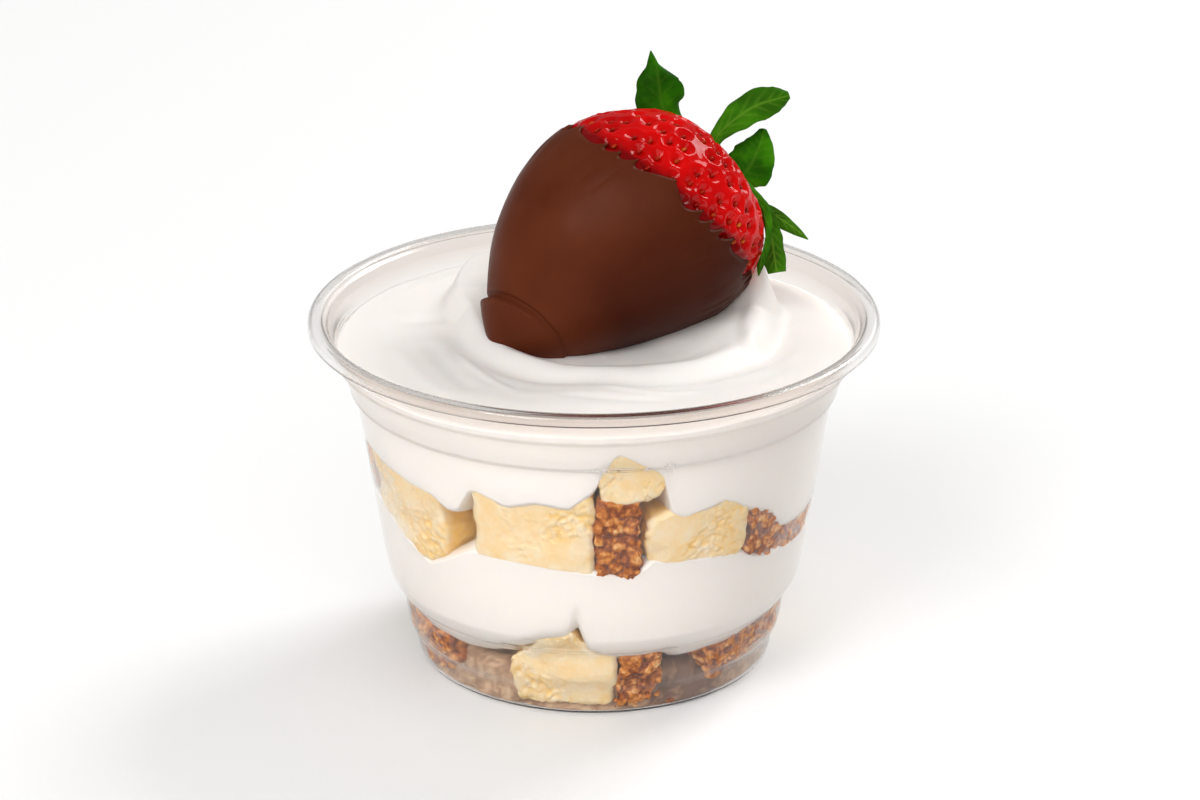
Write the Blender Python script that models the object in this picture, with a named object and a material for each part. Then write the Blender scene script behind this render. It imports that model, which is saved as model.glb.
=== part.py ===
"""A clear dessert cup filled with whipped cream and cheesecake pieces, with a dipped strawberry on top.

The cup stands on z = 0 with its axis on Z. Angles round the cup are in degrees from the front, which
is -Y, and grow towards +X. Radii and heights in the constants are in millimetres.
"""
import math
from collections import namedtuple

import bmesh
import bpy
import numpy as np
from mathutils import Matrix, Vector, noise

MM = 0.001
GAP = 0.32                 # clearance between neighbouring pieces
FIRST_ANGLE = -85.0        # angle where the count round the cup starts

# Cup, thermoformed from one clear sheet
SHEET = 0.6                # wall thickness
CUP_SEGMENTS = 40
CUP_LINE = (               # centre line of the sheet: radius, height
    (0.0, 0.3), (29.3, 0.3), (30.2, 0.6), (30.5, 1.3),          # flat base and heel
    (30.9, 4.4), (31.3, 5.1), (32.2, 5.6),                      # foot and lower stacking ledge
    (32.8, 11.9), (33.2, 12.9), (34.3, 13.5),                   # band and upper stacking ledge
    (35.4, 15.8), (36.2, 20.2), (40.6, 48.7),                   # shoulder and tapered wall
    (41.3, 49.7), (42.3, 50.5), (42.8, 51.8), (43.5, 54.6),     # collar
    (44.0, 55.3), (45.0, 59.4), (45.9, 60.9),                   # lid step and flare
    (47.1, 61.7), (48.1, 61.6), (48.7, 60.9), (48.7, 59.9))     # rolled rim
FACET = math.cos(math.pi / CUP_SEGMENTS)

# Cheesecake pieces: a ring of them over each layer of cream
MIDDLE_INNER = 21.0        # how far in the pieces of the middle ring reach
BOTTOM_INNER = 22.0
CORE_RADIUS = 20.6        # crumbled base inside the bottom ring
CORE_TOP = 8.6
CRUMB = 1.4                # depth of the crags in the biscuit crust
CAKE_PORES = 0.7           # depth of the dents in the cheesecake
Piece = namedtuple("Piece", "name crust bottom top")
# crust is the width in degrees of the biscuit end of a piece, negative where it is the first end;
# bottom and top are the lines of its lower and upper edge on the cup's wall: angle, height
MIDDLE_RING = (
    Piece("left", -7, ((-79, 33.0), (-54, 27.9), (-41, 27.6)), ((-79, 42.2), (-41, 39.2))),
    Piece("front", 12, ((-31, 30.6), (11.5, 28.2)), ((-31, 43.4), (-22, 41.2), (11.5, 41.4))),
    Piece("upper", 0, ((1, 42.2), (17, 42.9)), ((1, 47.5), (6, 52.8), (17, 48.0))),
    Piece("right", 8, ((13.5, 31.2), (51, 29.4)), ((13.5, 38.4), (33, 41.0), (51, 35.4))),
    Piece("dark", 22, ((52, 25.6), (74, 25.2)), ((52, 32.0), (74, 31.4))),
    Piece("back_a", 10, ((80, 28.0), (122, 29.5)), ((80, 38.5), (95, 41.0), (122, 39.0))),
    Piece("back_b", 10, ((129, 29.0), (172, 27.8)), ((129, 40.5), (172, 41.5))),
    Piece("back_c", 10, ((180, 30.0), (222, 28.2)), ((180, 42.0), (222, 39.5))),
    Piece("back_d", 10, ((229, 28.4), (266, 29.6)), ((229, 39.5), (250, 42.0), (266, 40.5))))
BOTTOM_RING = (
    Piece("left", 35, ((-83, 2.4), (-48, 2.0)), ((-83, 11.5), (-48, 8.8))),
    Piece("front", 15, ((-27, 1.2), (22, 1.0)), ((-27, 10.6), (-10, 14.8), (-2, 11.4), (22, 10.4))),
    Piece("right", 30, ((30, 3.4), (60, 4.2)), ((30, 8.6), (60, 9.6))),
    Piece("right_far", 19, ((62, 4.4), (81, 5.4)), ((62, 10.6), (81, 13.2))),
    Piece("back_a", 11, ((86, 1.2), (130, 1.2)), ((86, 12.0), (130, 10.8))),
    Piece("back_b", 11, ((138, 1.2), (182, 1.2)), ((138, 10.4), (160, 12.6), (182, 10.6))),
    Piece("back_c", 11, ((190, 1.2), (234, 1.2)), ((190, 11.0), (234, 12.4))),
    Piece("back_d", 0, ((242, 1.2), (274, 1.4)), ((242, 10.6), (274, 12.0))))

# Whipped cream
CREAM_STEP = 9.0           # widest step in degrees between columns of points
CREAM_LEVEL = 56.9         # surface at the cup's wall
CREAM_MEET = 31.0          # where the two layers meet in the middle
CREAM_IN_GAPS = (37.2, 31.2)   # upper and lower layer between two pieces
LOBE_FOOT = 9.5            # lowest edge of the lower layer
LOBE_RISE = 6.5            # how far the edge rises between two spoonfuls
LOBE_CUSPS = (-7.0, 82.0, 165.0, 250.0)
LOBE_CUSP_WIDTH = 9.0
SWIRL_CENTRE = (4.0, 6.0)
SWIRL_RADIUS = 24.5
SWIRL_WIDTH = 5.2
PEAK_PLACE = (29.3, 9.5)
PEAK_HEIGHT = 6.8
PEAK_WIDTH = 3.4

# Strawberry, dipped in chocolate
BERRY_LENGTH = 51.05
BERRY_RADIUS = 20.1
BERRY_WIDEST = 0.675       # share of the length, from the tip
BERRY_TIP = (-16.54, -5.36, 57.04)
BERRY_HEADING = 27.5       # degrees from +X to +Y
BERRY_RISE = 26.5          # degrees above the horizontal
BERRY_ROLL = -32.5
BERRY_BOW = (3.4, 0.5, 1.42)
BERRY_COLUMNS = 24
DIMPLE = 1.6
COAT = 1.0                 # thickness of the chocolate
COAT_COLUMNS = 40
COAT_EDGE = 36.2           # where the dip line crosses the near side, from the tip
COAT_EDGE_SLANT = 4.6
FOOT_CREASE = 6.2          # edge of the flat foot that the chocolate set on
FOOT_HEIGHT = 1.2
LEAF_THICKNESS = 0.5
Leaf = namedtuple("Leaf", "name route width facing cup")
# route: points in the strawberry's frame, measured from the middle of its calyx, as distance along
# the axis, across it towards the upper left, and across it away from the front
LEAVES = (
    Leaf("leaf_upright",
         ((1.2, 3.6, 2.4), (1.5, 9.0, 3.2), (-0.8, 14.9, 3.9), (0.1, 19.6, 4.3), (2.9, 25.7, 4.6)),
         8.2, (0, 0, 1), 1.2),
    Leaf("leaf_pointing",
         ((1.6, 1.6, -2.4), (2.4, 5.6, -1.6), (6.6, 7.3, -1.0), (11.5, 6.9, -1.7), (16.2, 5.0, -2.6)),
         4.8, (0.1, 0, 1), 0.7),
    Leaf("leaf_curled",
         ((1.3, -2.4, 2.6), (3.0, -5.6, 1.6), (5.2, -3.8, 1.3), (7.6, -0.4, 1.4), (10.3, 3.0, 1.8)),
         5.6, (0.2, 0, 1), 0.9),
    Leaf("leaf_right", ((1.2, -3.6, 0.4), (1.8, -7.4, -0.2), (2.9, -11.6, -1.6), (3.8, -17.0, -2.8)),
         3.8, (0, 0, 1), 0.5),
    Leaf("leaf_lower", ((1.2, -3.2, -2.0), (0.4, -9.6, -3.4), (-1.2, -15.0, -3.2), (-3.4, -19.2, -2.6)),
         5.0, (0.2, 0, 1), 0.6),
    Leaf("leaf_narrow", ((1.1, -1.6, -3.6), (-0.2, -10.6, -7.6), (-3.0, -15.6, -7.2), (-6.2, -18.9, -6.2)),
         3.0, (0.3, 0, 1), 0.4),
    Leaf("leaf_behind", ((1.3, 1.6, 4.2), (1.8, 4.4, 9.6), (0.6, 6.6, 15.0), (1.6, 8.6, 20.0)),
         6.6, (1, 0, 0), 1.0),
    Leaf("leaf_back", ((1.3, -1.4, 4.6), (1.6, -4.4, 10.0), (-0.4, -7.6, 15.4), (-1.6, -10.2, 19.6)),
         5.8, (1, 0, 0), 0.9))


def clear_scene():
    """Take away whatever the scene held."""
    for item in list(bpy.data.objects):
        bpy.data.objects.remove(item, do_unlink=True)


def make_material(name, colour, roughness, transmission=0.0):
    """A Principled material of one colour."""
    made = bpy.data.materials.new(name)
    made.use_nodes = True
    shader = made.node_tree.nodes["Principled BSDF"]
    shader.inputs["Base Color"].default_value = (*colour, 1.0)
    shader.inputs["Roughness"].default_value = roughness
    shader.inputs["Metallic"].default_value = 0.0
    shader.inputs["Transmission Weight"].default_value = transmission
    return made


def clear_plastic():
    return make_material("clear_plastic", (0.93, 0.93, 0.92), 0.05, 1.0)


def whipped_cream():
    return make_material("whipped_cream", (0.90, 0.85, 0.80), 0.45)


def cheesecake():
    return make_material("cheesecake", (0.88, 0.72, 0.42), 0.6)


def biscuit_crust():
    return make_material("biscuit_crust", (0.40, 0.18, 0.08), 0.8)


def strawberry_flesh():
    return make_material("strawberry_flesh", (0.60, 0.01, 0.01), 0.25)


def milk_chocolate():
    return make_material("milk_chocolate", (0.09, 0.025, 0.012), 0.35)


def leaf_green():
    return make_material("leaf_green", (0.06, 0.19, 0.01), 0.45)


def add_object(name, shape, finish, sharp=40.0):
    """Link the shape as one object, shaded smooth except over edges sharper than the angle."""
    bmesh.ops.recalc_face_normals(shape, faces=shape.faces[:])
    mesh = bpy.data.meshes.new(name)
    shape.to_mesh(mesh)
    shape.free()
    mesh.materials.append(finish)
    mesh.shade_smooth()
    mesh.set_sharp_from_angle(angle=math.radians(sharp))
    made = bpy.data.objects.new(name, mesh)
    bpy.context.scene.collection.objects.link(made)
    return made


def fill_shape(points, faces):
    """A bmesh of the points, given in millimetres, and the faces, in triangles."""
    shape = bmesh.new()
    corners = [shape.verts.new(Vector(point) * MM) for point in points]
    for face in faces:
        shape.faces.new([corners[index] for index in face])
    bmesh.ops.triangulate(shape, faces=shape.faces[:])
    return shape


def closed_columns(columns):
    """A closed shape from columns of points that run from one pole to the other, all the way round."""
    count, length = columns.shape[:2]
    inner = length - 2
    points = np.vstack([columns[0, :1], columns[:, 1:-1].reshape(-1, 3), columns[0, -1:]])
    last = len(points) - 1
    faces = []
    for column in range(count):
        here = 1 + column * inner
        there = 1 + (column + 1) % count * inner
        faces.append((0, there, here))
        faces.append((here + inner - 1, there + inner - 1, last))
        for row in range(inner - 1):
            faces.append((here + row, there + row, there + row + 1, here + row + 1))
    return fill_shape(points, faces)


def around(radius, angle, height):
    """The point at a radius and a height, at an angle in degrees from the front."""
    turn = np.radians(angle)
    return np.stack(np.broadcast_arrays(radius * np.sin(turn), -radius * np.cos(turn), height), axis=-1)


def offset_line(points, distance):
    """The line moved to its left by the distance, with mitred corners."""
    line = np.array(points)
    step = np.diff(line, axis=0)
    step /= np.linalg.norm(step, axis=1)[:, None]
    left = np.stack([-step[:, 1], step[:, 0]], axis=1)
    before = np.vstack([left[:1], left])
    after = np.vstack([left, left[-1:]])
    mitre = before + after
    mitre /= np.linalg.norm(mitre, axis=1)[:, None]
    stretch = distance / (mitre * before).sum(axis=1)
    return line + mitre * stretch[:, None]


INNER_LINE = offset_line(CUP_LINE, SHEET / 2)
OUTER_LINE = offset_line(CUP_LINE, -SHEET / 2)


def wall_radius(height):
    """How far out a piece may reach at a height, clear of the cup's inner face and its facets."""
    rising = INNER_LINE[1:20]
    return np.interp(height, rising[:, 1], rising[:, 0]) * FACET - GAP


def wall_radius_between(height, reach=2.6):
    """The least wall radius within reach above and below, so that a straight face clears the ledges."""
    steps = np.linspace(-reach, reach, 21)
    return wall_radius(np.asarray(height)[..., None] + steps).min(axis=-1)


def make_cup():
    """Spin the sheet's outline, from the base's middle over the rim and back to the floor's middle."""
    outline = np.vstack([OUTER_LINE, INNER_LINE[::-1]])
    shape = bmesh.new()
    points = [shape.verts.new((radius * MM, 0.0, height * MM)) for radius, height in outline]
    edges = [shape.edges.new(pair) for pair in zip(points, points[1:])]
    bmesh.ops.spin(shape, geom=points + edges, cent=(0, 0, 0), axis=(0, 0, 1),
                   angle=2 * math.pi, steps=CUP_SEGMENTS, use_merge=True)
    bmesh.ops.remove_doubles(shape, verts=shape.verts[:], dist=1e-6)
    bmesh.ops.triangulate(shape, faces=shape.faces[:])
    return add_object("cup", shape, clear_plastic(), sharp=30.0)


def line_height(line, angle):
    """The height of a line of (angle, height) points at an angle."""
    angles, heights = zip(*line)
    return np.interp(angle, angles, heights)


def block_points(cuts):
    """A cube of side 2 cut into a grid, with its edges rounded off."""
    shape = bmesh.new()
    bmesh.ops.create_cube(shape, size=2.0)
    bmesh.ops.subdivide_edges(shape, edges=shape.edges[:], cuts=cuts, use_grid_fill=True)
    for corner in shape.verts:
        place = np.abs(np.array(corner.co))
        corner.co *= place.max() / (place ** 9).sum() ** (1 / 9)
    return shape


def shape_block(name, piece, start, end, inner, finish, cuts, depth):
    """One end of a cheesecake piece: a block pressed flat on the wall, with dents of the given depth."""
    shape = block_points(cuts)
    for corner in shape.verts:
        across, inward, upward = corner.co
        places = [corner.co * 1.7 + Vector((start, 3.0 * axis, inner)) for axis in range(3)]
        dent = [depth * abs(noise.noise(place)) for place in places]
        angle = start + (end - start) * (across + 1) / 2
        bottom = line_height(piece.bottom, angle)
        top = line_height(piece.top, angle)
        height = bottom + (top - bottom) * (upward + 1) / 2 - dent[0] * 1.6 * upward
        outer = float(wall_radius_between(height))
        radius = inner + (outer - inner) * (1 - inward) / 2 + dent[1] * 2.0 * max(inward, 0.0)
        turn = -math.degrees(dent[2] * 1.6 / radius) * across
        corner.co = Vector(around(radius, angle + turn, height)) * MM
    bmesh.ops.triangulate(shape, faces=shape.faces[:])
    return add_object(name, shape, finish, sharp=50.0)


def make_piece(layer, piece, inner, cake, biscuit):
    """A cheesecake piece on the wall: its cake and, where it has one, its biscuit crust."""
    start, end = piece.top[0][0], piece.top[-1][0]
    gap = math.degrees(GAP / 30.0)
    if abs(piece.crust) >= end - start:
        shape_block(f"crust_{layer}_{piece.name}", piece, start, end, inner, biscuit, 3, CRUMB)
        return
    cake_start = start - min(piece.crust, 0)
    cake_end = end - max(piece.crust, 0)
    shape_block(f"cake_{layer}_{piece.name}", piece, cake_start, cake_end, inner, cake, 2, CAKE_PORES)
    if piece.crust > 0:
        shape_block(f"crust_{layer}_{piece.name}", piece, cake_end + gap, end, inner, biscuit, 2, CRUMB)
    if piece.crust < 0:
        shape_block(f"crust_{layer}_{piece.name}", piece, start, cake_start - gap, inner, biscuit, 2, CRUMB)


def make_core(biscuit):
    """The crumbled biscuit in the middle of the bottom layer."""
    angles = np.linspace(0, 360, 16, endpoint=False)
    radii = CORE_RADIUS * (1 - 0.09 * np.abs(np.sin(np.radians(angles * 2.5 + 20))))
    floor = SHEET + GAP
    rows = [(0.0, floor), (0.93, floor), (1.0, floor + 2.0), (0.96, CORE_TOP - 1.2), (0.7, CORE_TOP)]
    rows.append((0.0, CORE_TOP))
    columns = np.stack([around(radii * share, angles, height) for share, height in rows], axis=1)
    return add_object("crust_bottom_core", closed_columns(columns), biscuit, sharp=50.0)


def column_angles(pieces):
    """Angles of a cream layer's columns: just beside each piece, at its corners, and between them."""
    beside = 0.7
    marks = set()
    for piece in pieces:
        marks.update(angle for angle, height in piece.top[1:-1] + piece.bottom[1:-1])
        marks.update((piece.top[0][0] - beside, piece.top[-1][0] + beside))
    marks = sorted(marks)
    angles = []
    for here, there in zip(marks, marks[1:] + [marks[0] + 360]):
        count = max(1, math.ceil((there - here) / CREAM_STEP))
        if count == 1 and there - here > 3.0 and not covering(pieces, (here + there) / 2):
            count = 2
        angles.extend(np.linspace(here, there, count, endpoint=False))
    return np.array(angles)


def covering(pieces, angle):
    """The pieces that lie on the wall at an angle, or end within two degrees of it."""
    turned = (angle - FIRST_ANGLE) % 360 + FIRST_ANGLE
    return [piece for piece in pieces if piece.top[0][0] - 2.0 <= turned <= piece.top[-1][0] + 2.0]


def edge_over(pieces, angles, between):
    """Lower edge of the cream that lies over the pieces, and its height between two of them."""
    edges = []
    for angle in angles:
        under = covering(pieces, angle)
        turned = (angle - FIRST_ANGLE) % 360 + FIRST_ANGLE
        edges.append(max((line_height(piece.top, turned) + GAP for piece in under), default=between))
    return np.array(edges)


def edge_under(pieces, angles, between):
    """Upper edge of the cream that lies under the pieces, and its height between two of them."""
    edges = []
    for angle in angles:
        above = covering(pieces, angle)
        turned = (angle - FIRST_ANGLE) % 360 + FIRST_ANGLE
        edges.append(min((line_height(piece.bottom, turned) - GAP for piece in above), default=between))
    return np.array(edges)


def swirl_height(points):
    """The cream's surface: a ring pushed up round the strawberry, that ends in a peak, in a flat bed."""
    across = points[..., 0] - SWIRL_CENTRE[0]
    along = points[..., 1] - SWIRL_CENTRE[1]
    distance = np.hypot(across, along)
    turn = np.arctan2(along, across)
    ring = np.exp(-((distance - SWIRL_RADIUS) / SWIRL_WIDTH) ** 2)
    rise = 3.1 + 2.4 * np.cos(turn - 2.5) + 0.5 * np.cos(2 * turn)
    ripple = 0.35 * np.cos((distance - 33.0) * 0.9 + turn)
    from_middle = np.hypot(points[..., 0], points[..., 1])
    bed = np.clip((distance - 20.0) / 6.0, 0, 1) * np.clip((41.5 - from_middle) / 4.0, 0, 1)
    peak = np.hypot(points[..., 0] - PEAK_PLACE[0], points[..., 1] - PEAK_PLACE[1])
    return CREAM_LEVEL + 0.2 + ring * rise + ripple * bed + PEAK_HEIGHT * np.exp(-(peak / PEAK_WIDTH) ** 1.5)


def make_upper_cream():
    """The upper cream, from the swirl down to the pieces of the middle ring, cut out for the strawberry."""
    angles = column_angles(MIDDLE_RING)
    edge = edge_over(MIDDLE_RING, angles, CREAM_IN_GAPS[0])
    rows = [around(0.0, angles, 0.0)]
    rows += [around(radius, angles, 0.0) for radius in (7.0, 14.0, 19.0, 23.0, 27.0, 30.0, 33.0, 37.0, 41.0)]
    rows = [np.concatenate([row[:, :2], swirl_height(row)[:, None]], axis=1) for row in rows]
    rows += [around(wall_radius(height), angles, height) for height in (CREAM_LEVEL, 55.4, 51.4, 50.2, 48.4)]
    rows[-1] = np.where((edge > 47.6)[:, None], around(wall_radius(edge + 0.6), angles, edge + 0.6), rows[-1])
    rows[-2] = np.where((edge > 49.0)[:, None], around(wall_radius(edge + 1.2), angles, edge + 1.2), rows[-2])
    rows[-3] = np.where((edge > 50.2)[:, None], around(wall_radius(edge + 1.8), angles, edge + 1.8), rows[-3])
    rows.append(around(wall_radius(edge), angles, edge))
    rows.append(around(MIDDLE_INNER - 0.6, angles, edge))
    rows.append(around(MIDDLE_INNER - 3.0, angles, np.minimum(edge, CREAM_MEET + 2.0)))
    rows.append(around(MIDDLE_INNER - 7.0, angles, CREAM_MEET))
    rows.append(around(0.0, angles, CREAM_MEET))
    return add_object("cream_upper", closed_columns(np.stack(rows, axis=1)), whipped_cream(), sharp=60.0)


def lobe_edge(angles):
    """Lower edge of the lower cream on the wall: spoonfuls side by side, with a cusp between them."""
    away = [np.abs((angles - cusp + 180) % 360 - 180) for cusp in LOBE_CUSPS]
    nearest = np.min(away, axis=0)
    return LOBE_FOOT + LOBE_RISE * np.exp(-(nearest / LOBE_CUSP_WIDTH) ** 2)


def make_lower_cream():
    """The lower cream, between the two rings of pieces."""
    angles = np.concatenate([column_angles(MIDDLE_RING), column_angles(BOTTOM_RING)])
    angles = np.unique(np.round(angles % 360, 2))
    keep = np.diff(np.append(angles, angles[0] + 360)) > 1.2
    angles = angles[keep]
    top = edge_under(MIDDLE_RING, angles, CREAM_IN_GAPS[1])
    foot = np.maximum(lobe_edge(angles), edge_over(BOTTOM_RING, angles, 0.0))
    rows = [around(0.0, angles, CREAM_MEET - GAP)]
    rows.append(around(MIDDLE_INNER - 7.0, angles, CREAM_MEET - GAP))
    rows.append(around(MIDDLE_INNER - 0.6, angles, np.minimum(top, CREAM_MEET - GAP)))
    rows.append(around(wall_radius(top), angles, top))
    for step, height in ((1.2, 16.6), (0.6, 13.0)):
        level = np.maximum(height, foot + step)
        rows.append(around(wall_radius_between(level, 1.0), angles, level))
    rows.append(around(wall_radius_between(foot, 1.0), angles, foot))
    rows.append(around(BOTTOM_INNER - 0.6, angles, foot))
    rows.append(around(0.0, angles, CORE_TOP + GAP))
    return add_object("cream_lower", closed_columns(np.stack(rows, axis=1)), whipped_cream(), sharp=60.0)


def berry_frame():
    """The strawberry's frame: Z runs from the tip to the calyx, Y across it, X away from the front."""
    heading, rise, roll = (math.radians(angle) for angle in (BERRY_HEADING, BERRY_RISE, BERRY_ROLL))
    level = Vector((math.cos(heading), math.sin(heading), 0.0))
    axis = math.cos(rise) * level + Vector((0.0, 0.0, math.sin(rise)))
    upright = Vector((0.0, 0.0, math.cos(rise))) - math.sin(rise) * level
    across = math.cos(roll) * upright + math.sin(roll) * axis.cross(upright)
    away = across.cross(axis)
    turned = Matrix((away, across, axis)).transposed().to_4x4()
    return Matrix.Translation(Vector(BERRY_TIP) * MM) @ turned


def berry_line(share):
    """Radius and place along the axis of the strawberry's outline, at shares of its length."""
    before = 1 - (1 - np.clip(share / BERRY_WIDEST, 0, 1)) ** 1.9
    after = 1 - np.clip((share - BERRY_WIDEST) / (1 - BERRY_WIDEST), 0, 1) ** 1.4
    radius = BERRY_RADIUS * np.where(share < BERRY_WIDEST, before ** (1 / 1.373), after ** (1 / 3.94))
    dimple = DIMPLE * np.exp(-(radius / 5.0) ** 2) * (share > BERRY_WIDEST)
    return np.stack([radius, share * BERRY_LENGTH - dimple], axis=-1)


def berry_bow(share):
    """How far the middle of the strawberry's section lies off its straight axis."""
    return (BERRY_BOW[0] * np.sin(math.pi * share) + BERRY_BOW[1] * np.sin(2 * math.pi * share)
            + BERRY_BOW[2] * share)


def berry_points(share, turn, proud):
    """Points on the strawberry at shares of its length and turns round it, moved out by proud."""
    nudge = 1e-3
    line = berry_line(share)
    slope = berry_line(np.clip(share + nudge, 0, 1)) - berry_line(np.clip(share - nudge, 0, 1))
    slope /= np.linalg.norm(slope, axis=-1, keepdims=True)
    flat = (share <= 0) | (share >= 1)
    out_radius = np.where(flat, 0.0, slope[..., 1])
    out_along = np.where(flat, np.sign(share - 0.5), -slope[..., 0])
    radius = line[..., 0] + proud * out_radius
    along = line[..., 1] + proud * out_along
    return np.stack([radius * np.cos(turn), radius * np.sin(turn) + berry_bow(share),
                     np.broadcast_to(along, radius.shape)], axis=-1)


def make_strawberry():
    """The whole strawberry, coated or not."""
    share = np.array([0, .02, .06, .13, .22, .33, .45, .57, .675, .76, .84, .905, .955, .985, .996, 1.0])
    turn = np.linspace(0, 2 * math.pi, BERRY_COLUMNS, endpoint=False)
    grid_turn, grid_share = np.meshgrid(turn, share, indexing="ij")
    columns = berry_points(grid_share, grid_turn, 0.0)
    made = add_object("strawberry", closed_columns(columns), strawberry_flesh(), sharp=60.0)
    made.matrix_world = berry_frame()
    return made


def coat_edge(turn):
    """Where the chocolate ends, from the tip: a slanted dip line with small uneven teeth."""
    teeth = 0.55 * np.sin(turn * 11.0 + 2.0 * np.sin(turn * 3.0)) + 0.45 * np.sin(turn * 19.0 + 1.0)
    return (COAT_EDGE - COAT_EDGE_SLANT * np.sin(turn) + teeth) / BERRY_LENGTH


def foot_swell(share, turn):
    """How far the flat foot at the tip stands proud of the coat."""
    crease = (FOOT_CREASE - 2.2 * np.sin(turn)) / BERRY_LENGTH
    return FOOT_HEIGHT * np.clip((crease - share) * BERRY_LENGTH / 0.8 + 1.0, 0, 1)


def make_chocolate():
    """The chocolate coat: a shell over the strawberry's tip, thinner at its edge, with a foot."""
    turn = np.linspace(0, 2 * math.pi, COAT_COLUMNS, endpoint=False)
    steps = np.array([0, .05, .12, .17, .28, .44, .62, .82, 1.0])
    grid_turn, grid_step = np.meshgrid(turn, steps, indexing="ij")
    share = grid_step * coat_edge(grid_turn)
    thin = np.where(grid_step > 0.95, 0.4 * COAT, COAT)
    outer = berry_points(share, grid_turn, GAP + thin + foot_swell(share, grid_turn))
    inner = berry_points(share, grid_turn, GAP + 0.14)[:, ::-1]
    columns = np.concatenate([outer, inner], axis=1)
    made = add_object("chocolate", closed_columns(columns), milk_chocolate(), sharp=60.0)
    made.matrix_world = berry_frame()
    return made


def make_berry_cutter():
    """The room that the dipped strawberry takes in the cream."""
    share = np.array([0, .04, .1, .18, .28, .4, .55, .7, .82, .92, .98, 1.0])
    turn = np.linspace(0, 2 * math.pi, BERRY_COLUMNS, endpoint=False)
    grid_turn, grid_share = np.meshgrid(turn, share, indexing="ij")
    swell = foot_swell(grid_share - 0.03, grid_turn)
    columns = berry_points(grid_share, grid_turn, GAP + COAT + GAP + 0.3 + swell)
    made = add_object("berry_cutter", closed_columns(columns), milk_chocolate())
    made.matrix_world = berry_frame()
    made.hide_render = True
    made.display_type = "WIRE"
    return made


def cut_out(piece, cutter):
    """Cut the cutter's space out of the piece."""
    cut = piece.modifiers.new("room_for_strawberry", "BOOLEAN")
    cut.operation = "DIFFERENCE"
    cut.solver = "EXACT"
    cut.object = cutter


def smooth_route(route, count):
    """Points along a smooth curve through the route's points."""
    knots = np.array(route, float)
    knots = np.vstack([2 * knots[0] - knots[1], knots, 2 * knots[-1] - knots[-2]])
    place = np.linspace(0, len(route) - 1, count)
    index = np.minimum(place.astype(int), len(route) - 2)
    part = (place - index)[:, None]
    before, here, there, after = (knots[index + shift] for shift in range(4))
    return 0.5 * (2 * here + (there - before) * part + (2 * before - 5 * here + 4 * there - after) * part ** 2
                  + (3 * here - before - 3 * there + after) * part ** 3)


def lay_on_berry(points, clear):
    """Move the points that are inside the strawberry, or nearer to it than clear, out of its surface."""
    share = np.linspace(0.5, 1.0, 200)
    outline = berry_line(share)
    slope = np.gradient(outline, axis=0)
    slope /= np.linalg.norm(slope, axis=1)[:, None]
    out = np.stack([slope[:, 1], -slope[:, 0]], axis=1)
    side = points[..., 1] - berry_bow(np.clip(points[..., 2] / BERRY_LENGTH, 0, 1))
    radius = np.hypot(points[..., 0], side)
    place = np.stack([radius, points[..., 2]], axis=-1)
    nearest = np.linalg.norm(place[..., None, :] - outline, axis=-1).argmin(axis=-1)
    height = ((place - outline[nearest]) * out[nearest]).sum(axis=-1)
    moved = place + out[nearest] * np.maximum(clear - height, 0)[..., None]
    grow = moved[..., 0] / np.maximum(radius, 1e-6)
    return np.stack([points[..., 0] * grow, points[..., 1] + side * (grow - 1), moved[..., 1]], axis=-1)


def make_leaf(leaf, finish):
    """One leaf of the calyx: a cupped blade with a wavy edge, pointed at its end."""
    stations, lanes = 8, 5
    spine = smooth_route(leaf.route, stations)
    ahead = np.gradient(spine, axis=0)
    ahead /= np.linalg.norm(ahead, axis=1)[:, None]
    across = np.cross(ahead, np.array(leaf.facing, float))
    across /= np.linalg.norm(across, axis=1)[:, None]
    face = np.cross(across, ahead)
    share = np.linspace(0, 1, stations)
    half = leaf.width / 2 * np.maximum(np.sin(math.pi * share ** 1.25) ** 0.8, 0.12)
    half = np.maximum(half, 0.7 * (share < 0.2))
    lane = np.linspace(-1, 1, lanes)
    lift = leaf.cup * lane ** 2 + 0.25 * np.sin(6.0 * share[:, None] + 3.0 * lane) * np.abs(lane)
    points = (spine[:, None] + across[:, None] * (half[:, None] * lane)[..., None]
              + face[:, None] * (lift * (half / half.max())[:, None])[..., None])
    calyx = np.array([0.0, BERRY_BOW[2], BERRY_LENGTH])
    places = lay_on_berry(points[..., [2, 1, 0]] + calyx, GAP + LEAF_THICKNESS / 2 + 0.3).reshape(-1, 3)
    corners = [row * lanes + step for row in range(stations - 1) for step in range(lanes - 1)]
    faces = [(corner, corner + 1, corner + lanes + 1, corner + lanes) for corner in corners]
    made = add_object(leaf.name, fill_shape(places, faces), finish, sharp=80.0)
    made.matrix_world = berry_frame()
    thicken = made.modifiers.new("thickness", "SOLIDIFY")
    thicken.thickness = LEAF_THICKNESS * MM
    thicken.offset = 0.0
    return made


def make_stem(finish):
    """The stub of the stem in the dimple of the strawberry."""
    turn = np.linspace(0, 2 * math.pi, 8, endpoint=False)
    rows = [(0.0, GAP - DIMPLE), (1.5, GAP - DIMPLE + 0.3), (1.3, 0.9), (1.0, 2.2), (0.0, 2.3)]
    columns = np.stack([np.stack([radius * np.cos(turn), radius * np.sin(turn) + BERRY_BOW[2],
                                  np.full_like(turn, BERRY_LENGTH + along)], axis=-1)
                        for radius, along in rows], axis=1)
    made = add_object("stem", closed_columns(columns), finish)
    made.matrix_world = berry_frame()
    return made


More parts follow.
